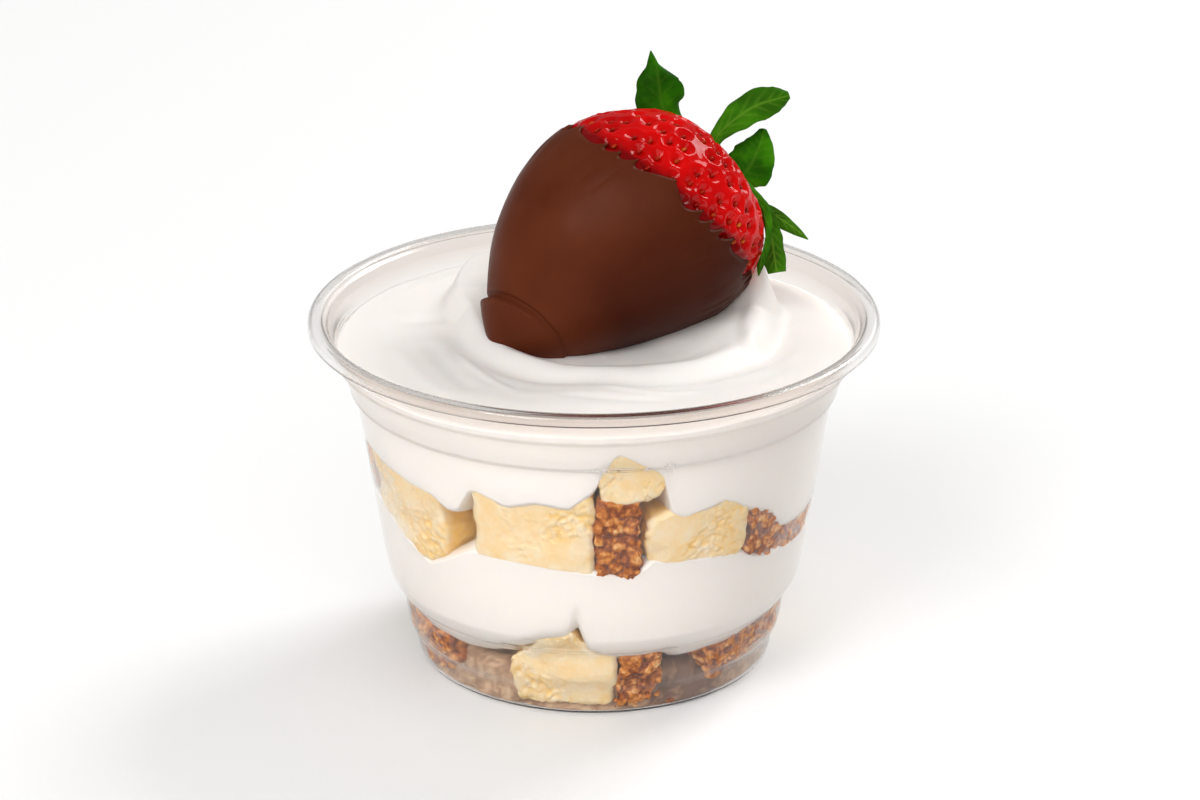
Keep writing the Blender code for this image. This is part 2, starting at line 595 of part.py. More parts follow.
def build():
    clear_scene()
    make_cup()
    cake, biscuit = cheesecake(), biscuit_crust()
    for piece in MIDDLE_RING:
        make_piece("middle", piece, MIDDLE_INNER, cake, biscuit)
    for piece in BOTTOM_RING:
        make_piece("bottom", piece, BOTTOM_INNER, cake, biscuit)
    make_core(biscuit)
    make_lower_cream()
    upper = make_upper_cream()
    make_strawberry()
    make_chocolate()
    cut_out(upper, make_berry_cutter())
    green = leaf_green()
    for leaf in LEAVES:
        make_leaf(leaf, green)
    make_stem(green)


build()
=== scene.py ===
"""Cheesecake cup: a clear cup of whipped cream and cheesecake, with a dipped strawberry on top."""

import math

import bpy
import numpy as np
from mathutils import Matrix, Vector


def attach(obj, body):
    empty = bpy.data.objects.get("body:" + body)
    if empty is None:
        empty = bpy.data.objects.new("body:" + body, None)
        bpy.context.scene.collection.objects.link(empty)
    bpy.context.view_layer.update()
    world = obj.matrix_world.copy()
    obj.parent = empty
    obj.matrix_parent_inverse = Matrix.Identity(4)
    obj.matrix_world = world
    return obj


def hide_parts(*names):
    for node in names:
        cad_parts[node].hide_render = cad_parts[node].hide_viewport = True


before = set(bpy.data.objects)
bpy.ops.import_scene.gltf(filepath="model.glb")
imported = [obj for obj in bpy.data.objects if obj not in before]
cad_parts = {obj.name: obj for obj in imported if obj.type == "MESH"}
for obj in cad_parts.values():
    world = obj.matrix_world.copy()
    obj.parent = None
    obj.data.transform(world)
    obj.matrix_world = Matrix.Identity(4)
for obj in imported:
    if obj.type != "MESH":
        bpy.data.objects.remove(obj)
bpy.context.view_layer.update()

# The studio: a pale matt table in a white room, big soft lamps in front at the left and behind at the
# right, a weak one in front and a small bright one for the lights on the fruit. Reflections show a
# dimmer room, clear plastic a brighter one. The camera looks down on the cup at about 22 degrees.
MM = 0.001


def linear(colour):
    """An sRGB hex colour turned linear: c / 12.92 if c is small, else ((c + 0.055) / 1.055) ** 2.4."""
    parts = np.array([int(colour[start:start + 2], 16) for start in (1, 3, 5)]) / 255
    return (*np.where(parts <= 0.04045, parts / 12.92, ((parts + 0.055) / 1.055) ** 2.4), 1.0)


def fill(node, inputs):
    """Each socket of the node is linked, set to a value, or set to a hex colour turned linear."""
    for socket, value in inputs.items():
        if isinstance(value, bpy.types.NodeSocket):
            node.id_data.links.new(value, node.inputs[socket])
        else:
            node.inputs[socket].default_value = linear(value) if isinstance(value, str) else value


def add_node(tree, kind, inputs=None, stops=(), output=0, **settings):
    """One output of a new node with its settings, its filled sockets and its colour ramp's stops."""
    node = tree.nodes.new("ShaderNode" + kind)
    for name, value in settings.items():
        setattr(node, name, value)
    fill(node, inputs or {})
    for index, (place, colour) in enumerate(stops):
        if index >= len(node.color_ramp.elements):
            node.color_ramp.elements.new(place)
        node.color_ramp.elements[index].position = place
        node.color_ramp.elements[index].color = linear(colour)
    return node.outputs[output]


def new_material(name):
    """A new material, its node tree and its Principled shader."""
    made = bpy.data.materials.new(name)
    made.use_nodes = True
    return made, made.node_tree, made.node_tree.nodes["Principled BSDF"]


table_paint, tree, shader = new_material("matt_white_board")
fill(shader, {"Base Color": "#fbfbfb", "Roughness": 0.9, "Specular IOR Level": 0.1})
bpy.ops.mesh.primitive_plane_add(size=6.0, location=(0, 0, -0.0002))
table = bpy.context.object
table.name = "table"
table.data.materials.append(table_paint)

room = bpy.data.worlds.new("white_room")
room.use_nodes = True
strength = 0.49                  # the room's light, and how it changes for two kinds of ray
for kind_of_ray, change in (("Is Glossy Ray", -0.29), ("Is Transmission Ray", 0.48)):
    ray = add_node(room.node_tree, "LightPath", output=kind_of_ray)
    strength = add_node(room.node_tree, "Math", {0: ray, 1: change, 2: strength},
                        operation="MULTIPLY_ADD")
fill(room.node_tree.nodes["Background"], {"Color": (1.0, 0.997, 0.99, 1.0), "Strength": strength})
bpy.context.scene.world = room
bpy.context.scene.view_settings.view_transform = "Standard"


def soft_lamp(name, place, size, power):
    """A flat lamp, with its two sides in metres, that faces the middle of the cup."""
    lamp = bpy.data.lights.new(name, "AREA")
    lamp.shape = "RECTANGLE"
    lamp.size, lamp.size_y = size
    lamp.energy = power
    made = bpy.data.objects.new(name, lamp)
    bpy.context.scene.collection.objects.link(made)
    made.location = place
    toward = Vector((0, 0, 0.05)) - made.location
    made.rotation_euler = toward.to_track_quat("-Z", "Y").to_euler()


soft_lamp("left_softbox", (-0.7, -1.0, 1.1), (0.7, 0.6), 9.4)
soft_lamp("front_softbox", (0.22, -1.2, 1.0), (1.0, 0.8), 4.0)
soft_lamp("back_softbox", (0.9, 0.9, 1.1), (0.65, 0.65), 11.0)
soft_lamp("small_lamp", (0.62, 0.66, 1.2), (0.14, 0.14), 0.9)

camera = bpy.data.objects.new("camera", bpy.data.cameras.new("camera"))
camera.data.sensor_width = 36.0
camera.data.lens = 127.87
camera.data.clip_start = 0.01
camera.location = (0.0, -0.681, 0.3174)
camera.rotation_euler = (math.pi / 2 - 0.3801, 0.0, -0.0015)
bpy.context.scene.collection.objects.link(camera)
bpy.context.scene.camera = camera

# The cup: one sheet of clear PET, drawn down over a mould, so that it is one thin wall from the flat
# base over two stacking ledges, the tapered side and the collar for the lid to its rolled rim.
CUP_TURNS = 216
CUP_SHEET = 0.45
CUP_OUT = 0.3              # outer face, out from the line below
CUP_LINE = (
    (0, 0.3), (29.3, 0.3), (30.2, 0.6), (30.5, 1.3), (30.9, 3.9), (31.2, 4.7), (31.9, 5.9), (32.3, 7.2),
    (32.75, 11.4), (33.1, 12.5), (34.1, 13.7), (35.3, 15.8), (36.2, 20.2), (36.5, 22.1), (40.4, 47.4),
    (40.65, 49.1), (41.45, 49.4), (42.3, 51.8), (43.15, 54.6), (43.8, 54.9), (45, 59.4), (45.6, 60.5),
    (46.2, 60.9), (46.5, 61.4), (47.2, 61.65), (48.1, 61.6), (48.6, 61.1), (48.7, 60.5), (48.65, 59.9))
RIBS = (49.25, 54.75)      # heights of thin ribs on the outer face
RIB_PROUD, RIB_WIDE = 0.22, 0.2
TINT_LOW, TINT_OUT = 56.0, 47.0   # the sheet is tinted greyer beige above this height and within this radius


def unit(vectors):
    """The vectors at length 1; one of no length stays as it is."""
    return vectors / np.maximum(np.linalg.norm(vectors, axis=-1, keepdims=True), 1e-9)


def rounded(corners, radius, steps=5):
    """A line with round corners, each a quadratic Bezier curve that reaches up to radius to both sides."""
    line = np.array(corners, float)
    here = line[1:-1]
    back, ahead = line[:-2] - here, line[2:] - here
    from_back = np.minimum(radius / np.linalg.norm(back, axis=1), 0.48)[:, None]
    from_ahead = np.minimum(radius / np.linalg.norm(ahead, axis=1), 0.48)[:, None]
    part = np.linspace(0, 1, steps)[None, :, None]
    first, last = (here + back * from_back)[:, None], (here + ahead * from_ahead)[:, None]
    curve = (1 - part) ** 2 * first + 2 * part * (1 - part) * here[:, None] + part ** 2 * last
    return np.vstack([line[:1], curve.reshape(-1, 2), line[-1:]])


def offset_line(line, distance):
    """The line moved to its left by the distance, along the mean of its neighbours' normals."""
    step = unit(np.diff(line, axis=0))
    left = np.stack([-step[:, 1], step[:, 0]], axis=1)
    mitre = unit(np.vstack([left[:1], left]) + np.vstack([left, left[-1:]]))
    return line + mitre * distance / (mitre * np.vstack([left[:1], left])).sum(axis=1)[:, None]


def bell(distance, width):
    """1 at distance 0 and falling on both sides, as exp(-(distance / width) ** 2)."""
    return np.exp(-(distance / width) ** 2)


def join(x, y, z):
    """Points from three coordinates, which are numbers or arrays that spread over each other's axes."""
    return np.stack(np.broadcast_arrays(x, y, z), axis=-1)


def around(radius, angle, height):
    """The point at a radius and height, at an angle in degrees from the front, growing to the right."""
    turn = np.radians(angle)
    return join(radius * np.sin(turn), -radius * np.cos(turn), height)


def closed_surface(name, rings, material, replaced="", paint=None):
    """A closed mesh from rings of points in mm, with the first and the last ring drawn to their mean.

    An array with one more axis in front holds several such bodies. Quads join each ring to the next
    and triangles close both ends. If the volume, the sum of each quad's first corner dotted with the
    cross product of the next two, is negative, all faces are turned.
    """
    bodies = rings if rings.ndim == 4 else rings[None]
    number, count, columns = bodies.shape[:3]
    inner = bodies[:, 1:-1].reshape(number, -1, 3)
    ends = (bodies[:, end].mean(axis=1, keepdims=True) for end in (0, -1))
    points = np.concatenate([next(ends), inner, next(ends)], axis=1) * MM
    per_body = points.shape[1]
    points = points.reshape(-1, 3)
    begin = per_body * np.arange(number)[:, None, None]
    index = begin + 1 + np.arange((count - 2) * columns).reshape(1, count - 2, columns)
    beside = np.roll(index, -1, axis=2)
    quads = np.stack([index[:, :-1], beside[:, :-1], beside[:, 1:], index[:, 1:]], axis=-1)
    quads = quads.reshape(-1, 4)
    pole = np.broadcast_to(begin[:, 0], index[:, 0].shape)
    fans = np.concatenate([
        np.stack([pole, beside[:, 0], index[:, 0]], axis=-1).reshape(-1, 3),
        np.stack([pole + per_body - 1, index[:, -1], beside[:, -1]], axis=-1).reshape(-1, 3)])
    first, second, third = (points[quads[:, corner]] for corner in (0, 1, 2))
    if (first * np.cross(second, third)).sum() < 0:
        quads, fans = quads[:, ::-1], fans[:, ::-1]
    mesh = bpy.data.meshes.new(name)
    mesh.from_pydata(points.tolist(), [], quads.tolist() + fans.tolist())
    mesh.validate()
    mesh.shade_smooth()
    mesh.materials.append(material)
    for label, values in (paint or {}).items():
        spread = values.reshape(number, count, columns)
        inner = spread[:, 1:-1].reshape(number, -1)
        flat = np.concatenate([spread[:, 0, :1], inner, spread[:, -1, :1]], axis=1).ravel()
        layer = mesh.attributes.new(label, "FLOAT", "POINT")
        layer.data.foreach_set("value", flat.astype(np.float32))
    piece = bpy.data.objects.new(name, mesh)
    bpy.context.scene.collection.objects.link(piece)
    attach(piece, "root")
    if replaced:
        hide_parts(replaced)


sheet_line = rounded(CUP_LINE, 0.3)
cup_outer = offset_line(sheet_line, -CUP_OUT)
cup_inner = offset_line(sheet_line, CUP_SHEET - CUP_OUT)
cup_outer[0, 0] = cup_inner[0, 0] = 0.0
cup_outer[:, 0] += sum(RIB_PROUD * bell(cup_outer[:, 1] - height, RIB_WIDE) for height in RIBS)
cup_profile = np.vstack([cup_outer, cup_inner[::-1]])
cup_angles = np.linspace(0, 360, CUP_TURNS, endpoint=False)

# Clear PET: a hard polished plastic, bright at its edges and folds, its sheet tinted greyer beige
# above the filling. Light passes it nearly unhindered, so its own shadow is let through.
clear_pet, tree, shader = new_material("clear_pet_sheet")
top_tint = add_node(tree, "Attribute", attribute_name="top_tint", output="Fac")
top_tinted = add_node(tree, "Mix", {0: top_tint, 6: "#faf8f6", 7: "#ebe2dc"}, data_type="RGBA", output=2)
fill(shader, {"Base Color": top_tinted, "Roughness": 0.12, "IOR": 1.38, "Transmission Weight": 1.0})
seen_through = add_node(tree, "BsdfTransparent", {"Color": (0.985, 0.98, 0.975, 1.0)})
shadow_ray = add_node(tree, "LightPath", output="Is Shadow Ray")
clear_mix = add_node(tree, "MixShader", {0: shadow_ray, 1: shader.outputs[0], 2: seen_through})
fill(tree.nodes["Material Output"], {"Surface": clear_mix})

cup_rings = around(cup_profile[:, :1], cup_angles, cup_profile[:, 1:])
cup_out = np.hypot(cup_rings[..., 0], cup_rings[..., 1])
# the sheet's top is tinted greyer beige, above the filling and inside the rim's curl
cup_top_tint = np.clip((cup_rings[..., 2] - TINT_LOW) / 1.5, 0, 1)
cup_top_tint *= np.clip((TINT_OUT - cup_out) / 0.8, 0, 1)
closed_surface("clear_cup", cup_rings, clear_pet, "cup", {"top_tint": cup_top_tint})


# The upper cream: whipped cream piped and swirled in the cup, pressed against the wall by its own
# weight. It carries a collar round the strawberry, fine ridges and a drawn-up peak at the right.
REACH_INTO_WALL = 0.14     # so that no air shows between the food and the wall
MEAN_WALL = 38.0           # mean radius of the wall, which turns degrees into mm
FOOD_LOW = 0.5             # lowest height of the food, just above the cup's base
CREAM_LEVEL = 57.0
CREAM_MIDDLE = 34.0        # height inside the cup where the two creams meet
LIP_TALL, LIP_DEEP = 1.7, 4.2      # of the rounded edge that each cream turns to the pieces between them
DEEPER_GAP = 3.5           # between the left and the front piece, at 323 degrees
COLLAR_MIDDLE = (4.0, 6.0)
# degrees from the right, counted to the back: radius of the collar's crest, its height, the width of its
# outer slope, and how much lower the cream lies where it meets the fruit
COLLAR = (
    (-162, 24.6, 2.3, 4.2, 1.6), (-140, 24.8, 1.5, 4.2, 2.2), (-115, 24.6, 1.2, 4.4, 2.6),
    (-92, 23, 1, 4.6, 2.4), (-75, 23.4, 1, 4.6, 2), (-57, 25.2, 1.3, 4.6, 1.8),
    (-38, 26, 1.9, 4.6, 1.4), (-15, 25.3, 2.1, 5, 0.8), (20, 24, 2, 5, 0.4), (60, 25, 2.6, 5, 0),
    (110, 30, 4.4, 4.4, 0), (142, 32.5, 5.6, 3.8, 0), (168, 28.8, 4.8, 3.4, 0),
    (180, 25.8, 3.4, 3.8, 0.6))
# strokes of the spoon, as their two ends, height and width
STROKES = (
    (-22.5, -9.2, -13.9, -23.8, 0.30, 0.7), (-28, -4, -20, -24, -0.30, 1.6),
    (2, -23, 17, -25.4, 0.28, 0.9), (-6, -26.5, 12, -28.6, -0.22, 1), (34.9, 9, 30.4, -14.8, -0.50, 2),
    (27.4, 6, 26.9, -8, 0.40, 1.1), (25.4, 4.4, 24.6, -9.6, -0.25, 1.1),
    (-33.5, 7.1, -25.4, 9.5, -0.35, 1.8), (-34, -6, -24, -27, 0.24, 1.8), (21, -21, 34, -9, 0.22, 1.4))
PEAK = (29.2, 9.5)         # to the right and to the back
PEAK_TALL = 7.4
PEAK_WIDE = (5.6, 2.2, 3.4)       # to its left, to its right, and to the front and back
RIDGE_TALL, RIDGE_APART = 0.16, 4.4
WALL_SINK = 0.6            # how much lower the cream lies at the wall
# angle round the cup and height of the cream's lower edge on the wall
UPPER_EDGE = (
    (-78, 41.8), (-70, 41.7), (-43, 39.7), (-39, 37.9), (-35.5, 38.2), (-31, 43.2), (-21.5, 41.1),
    (-14, 42.6), (-6, 41.7), (0, 45.2), (5, 53), (17, 47.2), (18.5, 40.6), (22, 38.8), (27, 39.6),
    (33.6, 40.7), (42, 37.7), (51, 35), (55.5, 30.9), (70, 30.2), (78, 30.6), (88, 37.5), (101, 40.4),
    (120, 38.6), (125, 35.6), (131, 40.2), (170, 41.2), (176, 37), (183, 41.8), (220, 39.2),
    (225, 35.4), (232, 39.6), (250, 41.8), (264, 40.4), (272, 37.4))


def cell_value(cell, seed):
    """A number from 0 to 1 for each whole-number cell, mixed from its three coordinates."""
    x, y, z = np.moveaxis(np.floor(cell).astype(np.int64), -1, 0)
    mixed = x * 73856093 ^ y * 19349663 ^ z * 83492791 ^ (seed + 1) * 2654435761
    mixed = (mixed ^ (mixed >> 13)) * 1274126177
    mixed = mixed ^ (mixed >> 16)
    return (mixed & 0xFFFFFF) / 0xFFFFFF


def waves(points, size, seed=0):
    """Smooth noise from -1 to 1: each cell's eight corner values, blended by cubic weights."""
    place = points / size
    cell = np.floor(place)
    part = place - cell
    part = part * part * (3 - 2 * part)
    total = np.zeros(points.shape[:-1])
    for corner in np.ndindex(2, 2, 2):
        weight = np.prod(np.where(corner, part, 1 - part), axis=-1)
        total += weight * cell_value(cell + corner, seed)
    return 2 * total - 1


def ramp(value):
    """0 below 0, 1 above 1, and 3 v^2 - 2 v^3 between, which is smooth at both ends."""
    part = np.clip(value, 0, 1)
    return part * part * (3 - 2 * part)


def wall_at(height):
    """How far out the food reaches at a height: the cup's inner face, and a little into its wall."""
    rising = cup_inner[(cup_inner[:, 1] > FOOD_LOW) & (cup_inner[:, 0] > 29)]
    rising = rising[:np.argmax(rising[:, 1])]
    return np.interp(height, rising[:, 1], rising[:, 0]) + REACH_INTO_WALL


def edge_height(table, angle, blur=1.1):
    """The softened height of an edge at an angle, from a closed table of angles and heights."""
    angles, heights = np.array(table, float).T
    shifts = np.linspace(-2, 2, 9) * blur
    weights = bell(shifts, blur)
    soft = sum(weight * np.interp(angle + shift, angles, heights, period=360)
               for shift, weight in zip(shifts, weights))
    return soft / weights.sum()


def swirl(x, y):
    """Height of the cream's top: its level, a collar with a soft outer slope, strokes and a peak."""
    across, along = x - COLLAR_MIDDLE[0], y - COLLAR_MIDDLE[1]
    turn = np.degrees(np.arctan2(along, across))
    turns = np.array(COLLAR, float)[:, 0]
    radius, tall, slope, dip = (np.interp(turn, turns, column, period=360)
                                for column in np.array(COLLAR, float).T[1:])
    outside = np.hypot(across, along) - radius
    places = join(x, y, 0.0)
    collar = tall * ramp(0.75 - outside / slope) - dip * ramp(-outside / 6.5)
    valley = -0.55 * bell(outside - 0.9 * slope, 1.9) * ramp(dip)
    spiral = outside / RIDGE_APART + turn / 360 + 0.4 * waves(places, 13.0, 6)
    ridges = RIDGE_TALL * np.sin(2 * math.pi * spiral) * ramp(0.5 + waves(places, 12.0, 7))
    ridges = ridges * np.exp(-np.maximum(outside - 1.0, 0) / 9.0) * ramp((outside + 6) / 4)
    strokes = np.zeros_like(x)
    for x_from, y_from, x_to, y_to, height, width in STROKES:
        length = math.hypot(x_to - x_from, y_to - y_from)
        ahead = ((x - x_from) * (x_to - x_from) + (y - y_from) * (y_to - y_from)) / length
        aside = ((x - x_from) * (y_to - y_from) - (y - y_from) * (x_to - x_from)) / length
        bowed = aside - 0.9 * np.sin(math.pi * np.clip(ahead / length, 0, 1))
        ends = ramp(ahead / 4.0 + 0.5) * ramp((length - ahead) / 4.0 + 0.5)
        strokes += height * bell(bowed, width) * ends
    from_peak = x - PEAK[0]
    stretch = np.where(from_peak < 0, *PEAK_WIDE[:2])
    spread = np.hypot(from_peak / stretch, (y - PEAK[1]) / PEAK_WIDE[2])
    cone = np.clip(1 - spread / 1.5, 0, 1) ** 1.15
    peak = PEAK_TALL * (0.75 * cone + 0.25 * np.exp(-spread ** 1.1)) + 1.5 * bell(spread, 3.2)
    soft = 0.30 * waves(places, 12.0, 3) + 0.06 * waves(places, 4.0, 4)
    at_wall = -WALL_SINK * ramp((np.hypot(x, y) - 39.0) / 4.5)
    return CREAM_LEVEL + collar + valley + ridges + strokes + peak + soft + at_wall


def lip_and_inside(edge, side, middle):
    """Rows from a cream's edge on the wall to the cup's axis, first round a quarter ellipse.

    The ellipse rises where side is 1 and sinks where it is -1.
    """
    bend = np.linspace(0, math.pi / 2, 12)[1:, None]
    heights = edge + side * LIP_TALL * (np.sin(bend) - 0.2)
    lip = around(wall_at(edge) - gap_depth * (1 - np.cos(bend)), angles, heights)
    inside = np.linspace(0, 1, 8)[1:, None]
    radii = (wall_at(edge) - gap_depth) * (1 - inside)
    inner_heights = heights[-1] + (middle - heights[-1]) * ramp(inside * 2.2)
    return np.concatenate([lip, around(radii, angles, inner_heights)])


angles = np.linspace(0, 360, 480, endpoint=False)
gap_depth = LIP_DEEP + DEEPER_GAP * bell(angles - 323, 6.0)
upper_edge = edge_height(UPPER_EDGE, angles)
top_radii = np.concatenate([[0.0], np.linspace(2.0, 43.4, 84)])
top_rows = around(top_radii[:, None], angles, 0.0)
top_rows[..., 2] = swirl(top_rows[..., 0], top_rows[..., 1])
brim = top_rows[-1, :, 2] - 0.15
share = np.linspace(0, 1, 80)[:, None]
wall_heights = brim + (upper_edge + 0.25 - brim) * share
wall_rows = around(wall_at(wall_heights), angles, wall_heights)
upper_rows = np.concatenate([top_rows, wall_rows, lip_and_inside(upper_edge, -1, CREAM_MIDDLE)])

# Whipped dairy cream: fat and air, off-white, softly lit from inside, faintly moist on its surface.
# Tiny bubbles of 0.4 mm are drawn at 1.5 mm, the finest that shows at this distance.
whipped_cream, tree, shader = new_material("whipped_dairy_cream")
where = add_node(tree, "TexCoord", output="Object")
bubbles = add_node(tree, "TexNoise", {
    "Vector": where, "Scale": 1 / 0.0015, "Detail": 3.0, "Roughness": 0.55})
bump = add_node(tree, "Bump", {"Strength": 0.10, "Distance": 0.0004, "Height": bubbles})
fill(shader, {"Base Color": "#fcf5f0", "Roughness": 0.45, "Specular IOR Level": 0.35, "Normal": bump,
              "Subsurface Weight": 0.35, "Subsurface Radius": (1.0, 0.8, 0.62), "Subsurface Scale": 0.004})
closed_surface("upper_cream", upper_rows, whipped_cream, "cream_upper")


# The lower cream: spoonfuls laid side by side over the first pieces of cheesecake. Each bulges
# against the wall with a rounded foot, and neighbours meet in a crease.
LOWER_TOP = (
    (-80, 32.6), (-68, 31.5), (-54, 27.6), (-47.8, 25.6), (-41, 28), (-33, 31), (-16, 30.5), (1, 29.1),
    (10, 28), (15, 31.2), (18, 30.7), (39, 29.5), (48.7, 26.6), (70, 25.9), (80, 27.2), (90, 29.4),
    (101, 28.6), (120, 29.6), (126, 32), (140, 28.9), (170, 28.1), (176, 32), (190, 29.9), (220, 28.4),
    (226, 32), (235, 28.6), (262, 29.6), (272, 33))
LOWER_FOOT = (
    (-80, 12.6), (-66, 10.2), (-58, 9.3), (-43, 9.3), (-27, 11.1), (-13.7, 14.7), (-8, 15.2),
    (-4.6, 18), (-1.5, 12.2), (2, 10.9), (7, 10.6), (11.6, 10.4), (22, 11), (27.6, 9.7), (46.5, 9.5),
    (60, 10.6), (80, 13.2), (88, 11.6), (120, 10.5), (134, 12.8), (140, 17), (146, 12.2), (175, 10.4),
    (205, 10.6), (214, 12.8), (220, 17.2), (226, 12.2), (255, 10.2))
CREASES = ((-4.8, 24.0), (140, 24.0), (220, 25.0))      # angle and upper end
CREASE_DEEP = 1.1
FOOT_TALL, FOOT_DEEP = 4.4, 5.6

lower_top = edge_height(LOWER_TOP, angles)
lower_foot = edge_height(LOWER_FOOT, angles, 0.9)
share = np.linspace(0, 1, 48)[:, None]
foot_start = lower_foot + FOOT_TALL * 0.8
wall_heights = lower_top - 0.25 + (foot_start - lower_top + 0.25) * share
bend = np.linspace(0, math.pi / 2, 16)[1:, None]
foot_heights = lower_foot + FOOT_TALL * (0.8 - np.sin(bend))
foot_radii = wall_at(foot_heights) - FOOT_DEEP * (1 - np.cos(bend))
wall_rows = around(wall_at(wall_heights), angles, wall_heights)
foot_rows = around(foot_radii, angles, foot_heights)
under = np.linspace(0, 1, 7)[1:, None]
under_heights = foot_heights[-1] + (9.0 - foot_heights[-1]) * ramp(under * 2)
under_rows = around(foot_radii[-1] * (1 - under), angles, under_heights)
roof_rows = lip_and_inside(lower_top, 1, CREAM_MIDDLE - 0.6)[::-1]
lower_rows = np.concatenate([roof_rows, wall_rows, foot_rows, under_rows])
for angle, top in CREASES:
    heights = lower_rows[..., 2]
    aside = (angles - angle + 180) % 360 - 180
    deep = CREASE_DEEP * np.exp(-np.abs(aside / 0.9) ** 1.4) * ramp((top - heights) / 5.0)
    deep = deep * (np.hypot(lower_rows[..., 0], lower_rows[..., 1]) > 28)
    lower_rows[..., :2] *= (1 - deep / MEAN_WALL)[..., None]
closed_surface("lower_cream", lower_rows, whipped_cream, "cream_lower")


# The cheesecake pieces: baked cream-cheese filling, cut and broken by hand. Their faces are pressed
# flat on the wall, smooth or crumbled, and cream covers their upper and lower ends.
# node that each stands for: outline on the wall, as angle and height
CAKE_PIECES = {
    "cake_middle_left": ((-72, 31.8), (-55, 26.2), (-46, 25.8), (-42, 27.5), (-40.6, 34), (-41.6, 40.6),
        (-56, 42.4), (-72.4, 43.4)),
    "cake_middle_front": ((-31.2, 29.5), (-15, 28.6), (0.2, 27.6), (0.4, 36), (-0.2, 44.6), (-6, 43.2),
        (-14, 44.2), (-21.5, 42.6), (-28, 44.8), (-31.4, 44.9)),
    "cake_middle_upper": ((0.8, 44.6), (1.6, 43), (5, 42.2), (10, 42.6), (16.4, 43.4), (18, 45.6),
        (17, 48.6), (13, 51), (8, 53.6), (5, 54.6), (2.4, 53.2), (0.8, 48)),
    "cake_middle_right": ((13.4, 31.2), (17, 29.4), (28, 28.6), (39, 28.4), (42.6, 29.6), (43.2, 35.8),
        (42, 39.2), (33.6, 42.2), (27, 41.2), (19, 40.4), (13.4, 39), (12.8, 35)),
    "cake_middle_back_a": ((80, 27), (112, 28), (112, 40.4), (96, 42.2), (80, 39.6)),
    "cake_middle_back_b": ((129, 28), (162, 27), (162, 42.6), (129, 41.6)),
    "cake_middle_back_c": ((180, 29), (212, 27.6), (212, 41.2), (180, 43.2)),
    "cake_middle_back_d": ((229, 27.4), (256, 28.4), (256, 42.6), (248, 43.2), (229, 40.6)),
    "cake_bottom_front": ((-26.4, 1.4), (-26.6, 10.8), (-20, 12.9), (-13.7, 16.6), (-6, 17.2),
        (-1, 13.6), (6.6, 12.4), (7, 5), (6.2, 1.4), (-4, 0.9), (-12, 1.3), (-18, 0.9)),
    "cake_bottom_back_a": ((86, 1), (119, 1), (119, 12), (86, 13.2)),
    "cake_bottom_back_b": ((138, 1), (171, 1), (171, 13), (138, 11.6)),
    "cake_bottom_back_c": ((190, 1), (223, 1), (223, 13.4), (190, 12.2)),
    "cake_bottom_back_d": ((242, 1), (274, 1.2), (274, 13), (242, 11.6))}
PIECE_DEPTH = 15.0
FILLET = 0.9               # round edge of a piece's face
SHORT_CAKE, SHORT_CRUST = 11.0, 9.0        # depth of the pieces on the base
PRESS = 0.06               # the cream lies this much further into the wall than a piece


def grains(points, size, seed=0):
    """Cellular noise: the distance to the nearest of one random centre a cell, over the cell's size.

    Also gives a random number that is the same all over the grain round each centre.
    """
    place = points / size
    cell = np.floor(place)
    nearest = np.full(points.shape[:-1], 9.0)
    which = np.zeros(points.shape[:-1])
    for step in np.ndindex(3, 3, 3):
        beside = cell + np.array(step) - 1
        centre = beside + np.stack([cell_value(beside, seed + axis) for axis in range(3)], axis=-1)
        distance = np.linalg.norm(place - centre, axis=-1)
        closer = distance < nearest
        nearest = np.where(closer, distance, nearest)
        which = np.where(closer, cell_value(beside, seed + 5), which)
    return nearest, which


def pressed_block(outline, depth, ragged, seed, columns=220):
    """A block with its outline pressed on the wall: rings grow from the face's middle to its edge.

    They then run inwards along the radius by the depth and close at the back. The face's edge is
    rounded, and ragged sets how far the outline wanders. The face keeps to the narrowest wall within
    0.3 mm above and below each point, or 1.2 mm by the stacking ledges, which it doesn't fill.
    """
    corners = np.array(outline, float)
    corners = rounded(np.vstack([corners[-1:], corners, corners[:1]]), 1.1, 4)[1:-1]
    corners = np.vstack([corners, corners[:1]])
    scale = np.array([math.radians(MEAN_WALL), 1.0])      # mm to a degree and to a mm
    length = np.concatenate([[0], np.cumsum(np.linalg.norm(np.diff(corners * scale, axis=0), axis=1))])
    place = np.linspace(0, length[-1], columns, endpoint=False)
    edge = np.stack([np.interp(place, length, corners[:, axis]) for axis in (0, 1)], axis=-1)
    middle = edge.mean(axis=0)
    spots = np.concatenate([edge * scale, np.zeros((columns, 1))], axis=1)
    wander = ragged * (waves(spots, 2.6, seed) + 0.6 * waves(spots, 1.1, seed + 1))
    edge = edge + unit((edge - middle) * scale) * wander[:, None] / scale
    face = np.linspace(0, 1, 34)
    fillet = FILLET * (1 - np.sqrt(1 - ramp((face - 0.9) / 0.1) * 0.96))
    back = np.linspace(0, 1, 26)[1:]
    close = np.linspace(1, 0, 7)[1:]
    scales = np.concatenate([face * 0.985, 0.985 + 0.015 * np.sin(back * math.pi), close * 0.985])
    depths = np.concatenate([fillet, FILLET + (depth - FILLET) * back, np.full(6, depth)])
    spots = middle + (edge - middle) * scales[:, None, None]
    angles, heights = spots[..., 0], spots[..., 1]
    ease = 0.3 if middle[1] > 24 else 1.2
    pressed = np.min([wall_at(heights + shift) for shift in (-ease, 0.0, ease)], axis=0)
    return around(pressed - depths[:, None], angles, heights)


def normals_of(rings):
    """Unit normals of a grid of points: the cross product of its steps along and round the rings."""
    round_step = np.roll(rings, -1, axis=1) - np.roll(rings, 1, axis=1)
    along_step = np.gradient(rings, axis=0)
    normal = np.cross(along_step, round_step)
    normal[0], normal[-1] = normal[1].mean(axis=0), normal[-2].mean(axis=0)
    normal = unit(normal)
    outwards = (normal * (rings - rings.mean(axis=(0, 1)))).sum()
    return normal if outwards > 0 else -normal


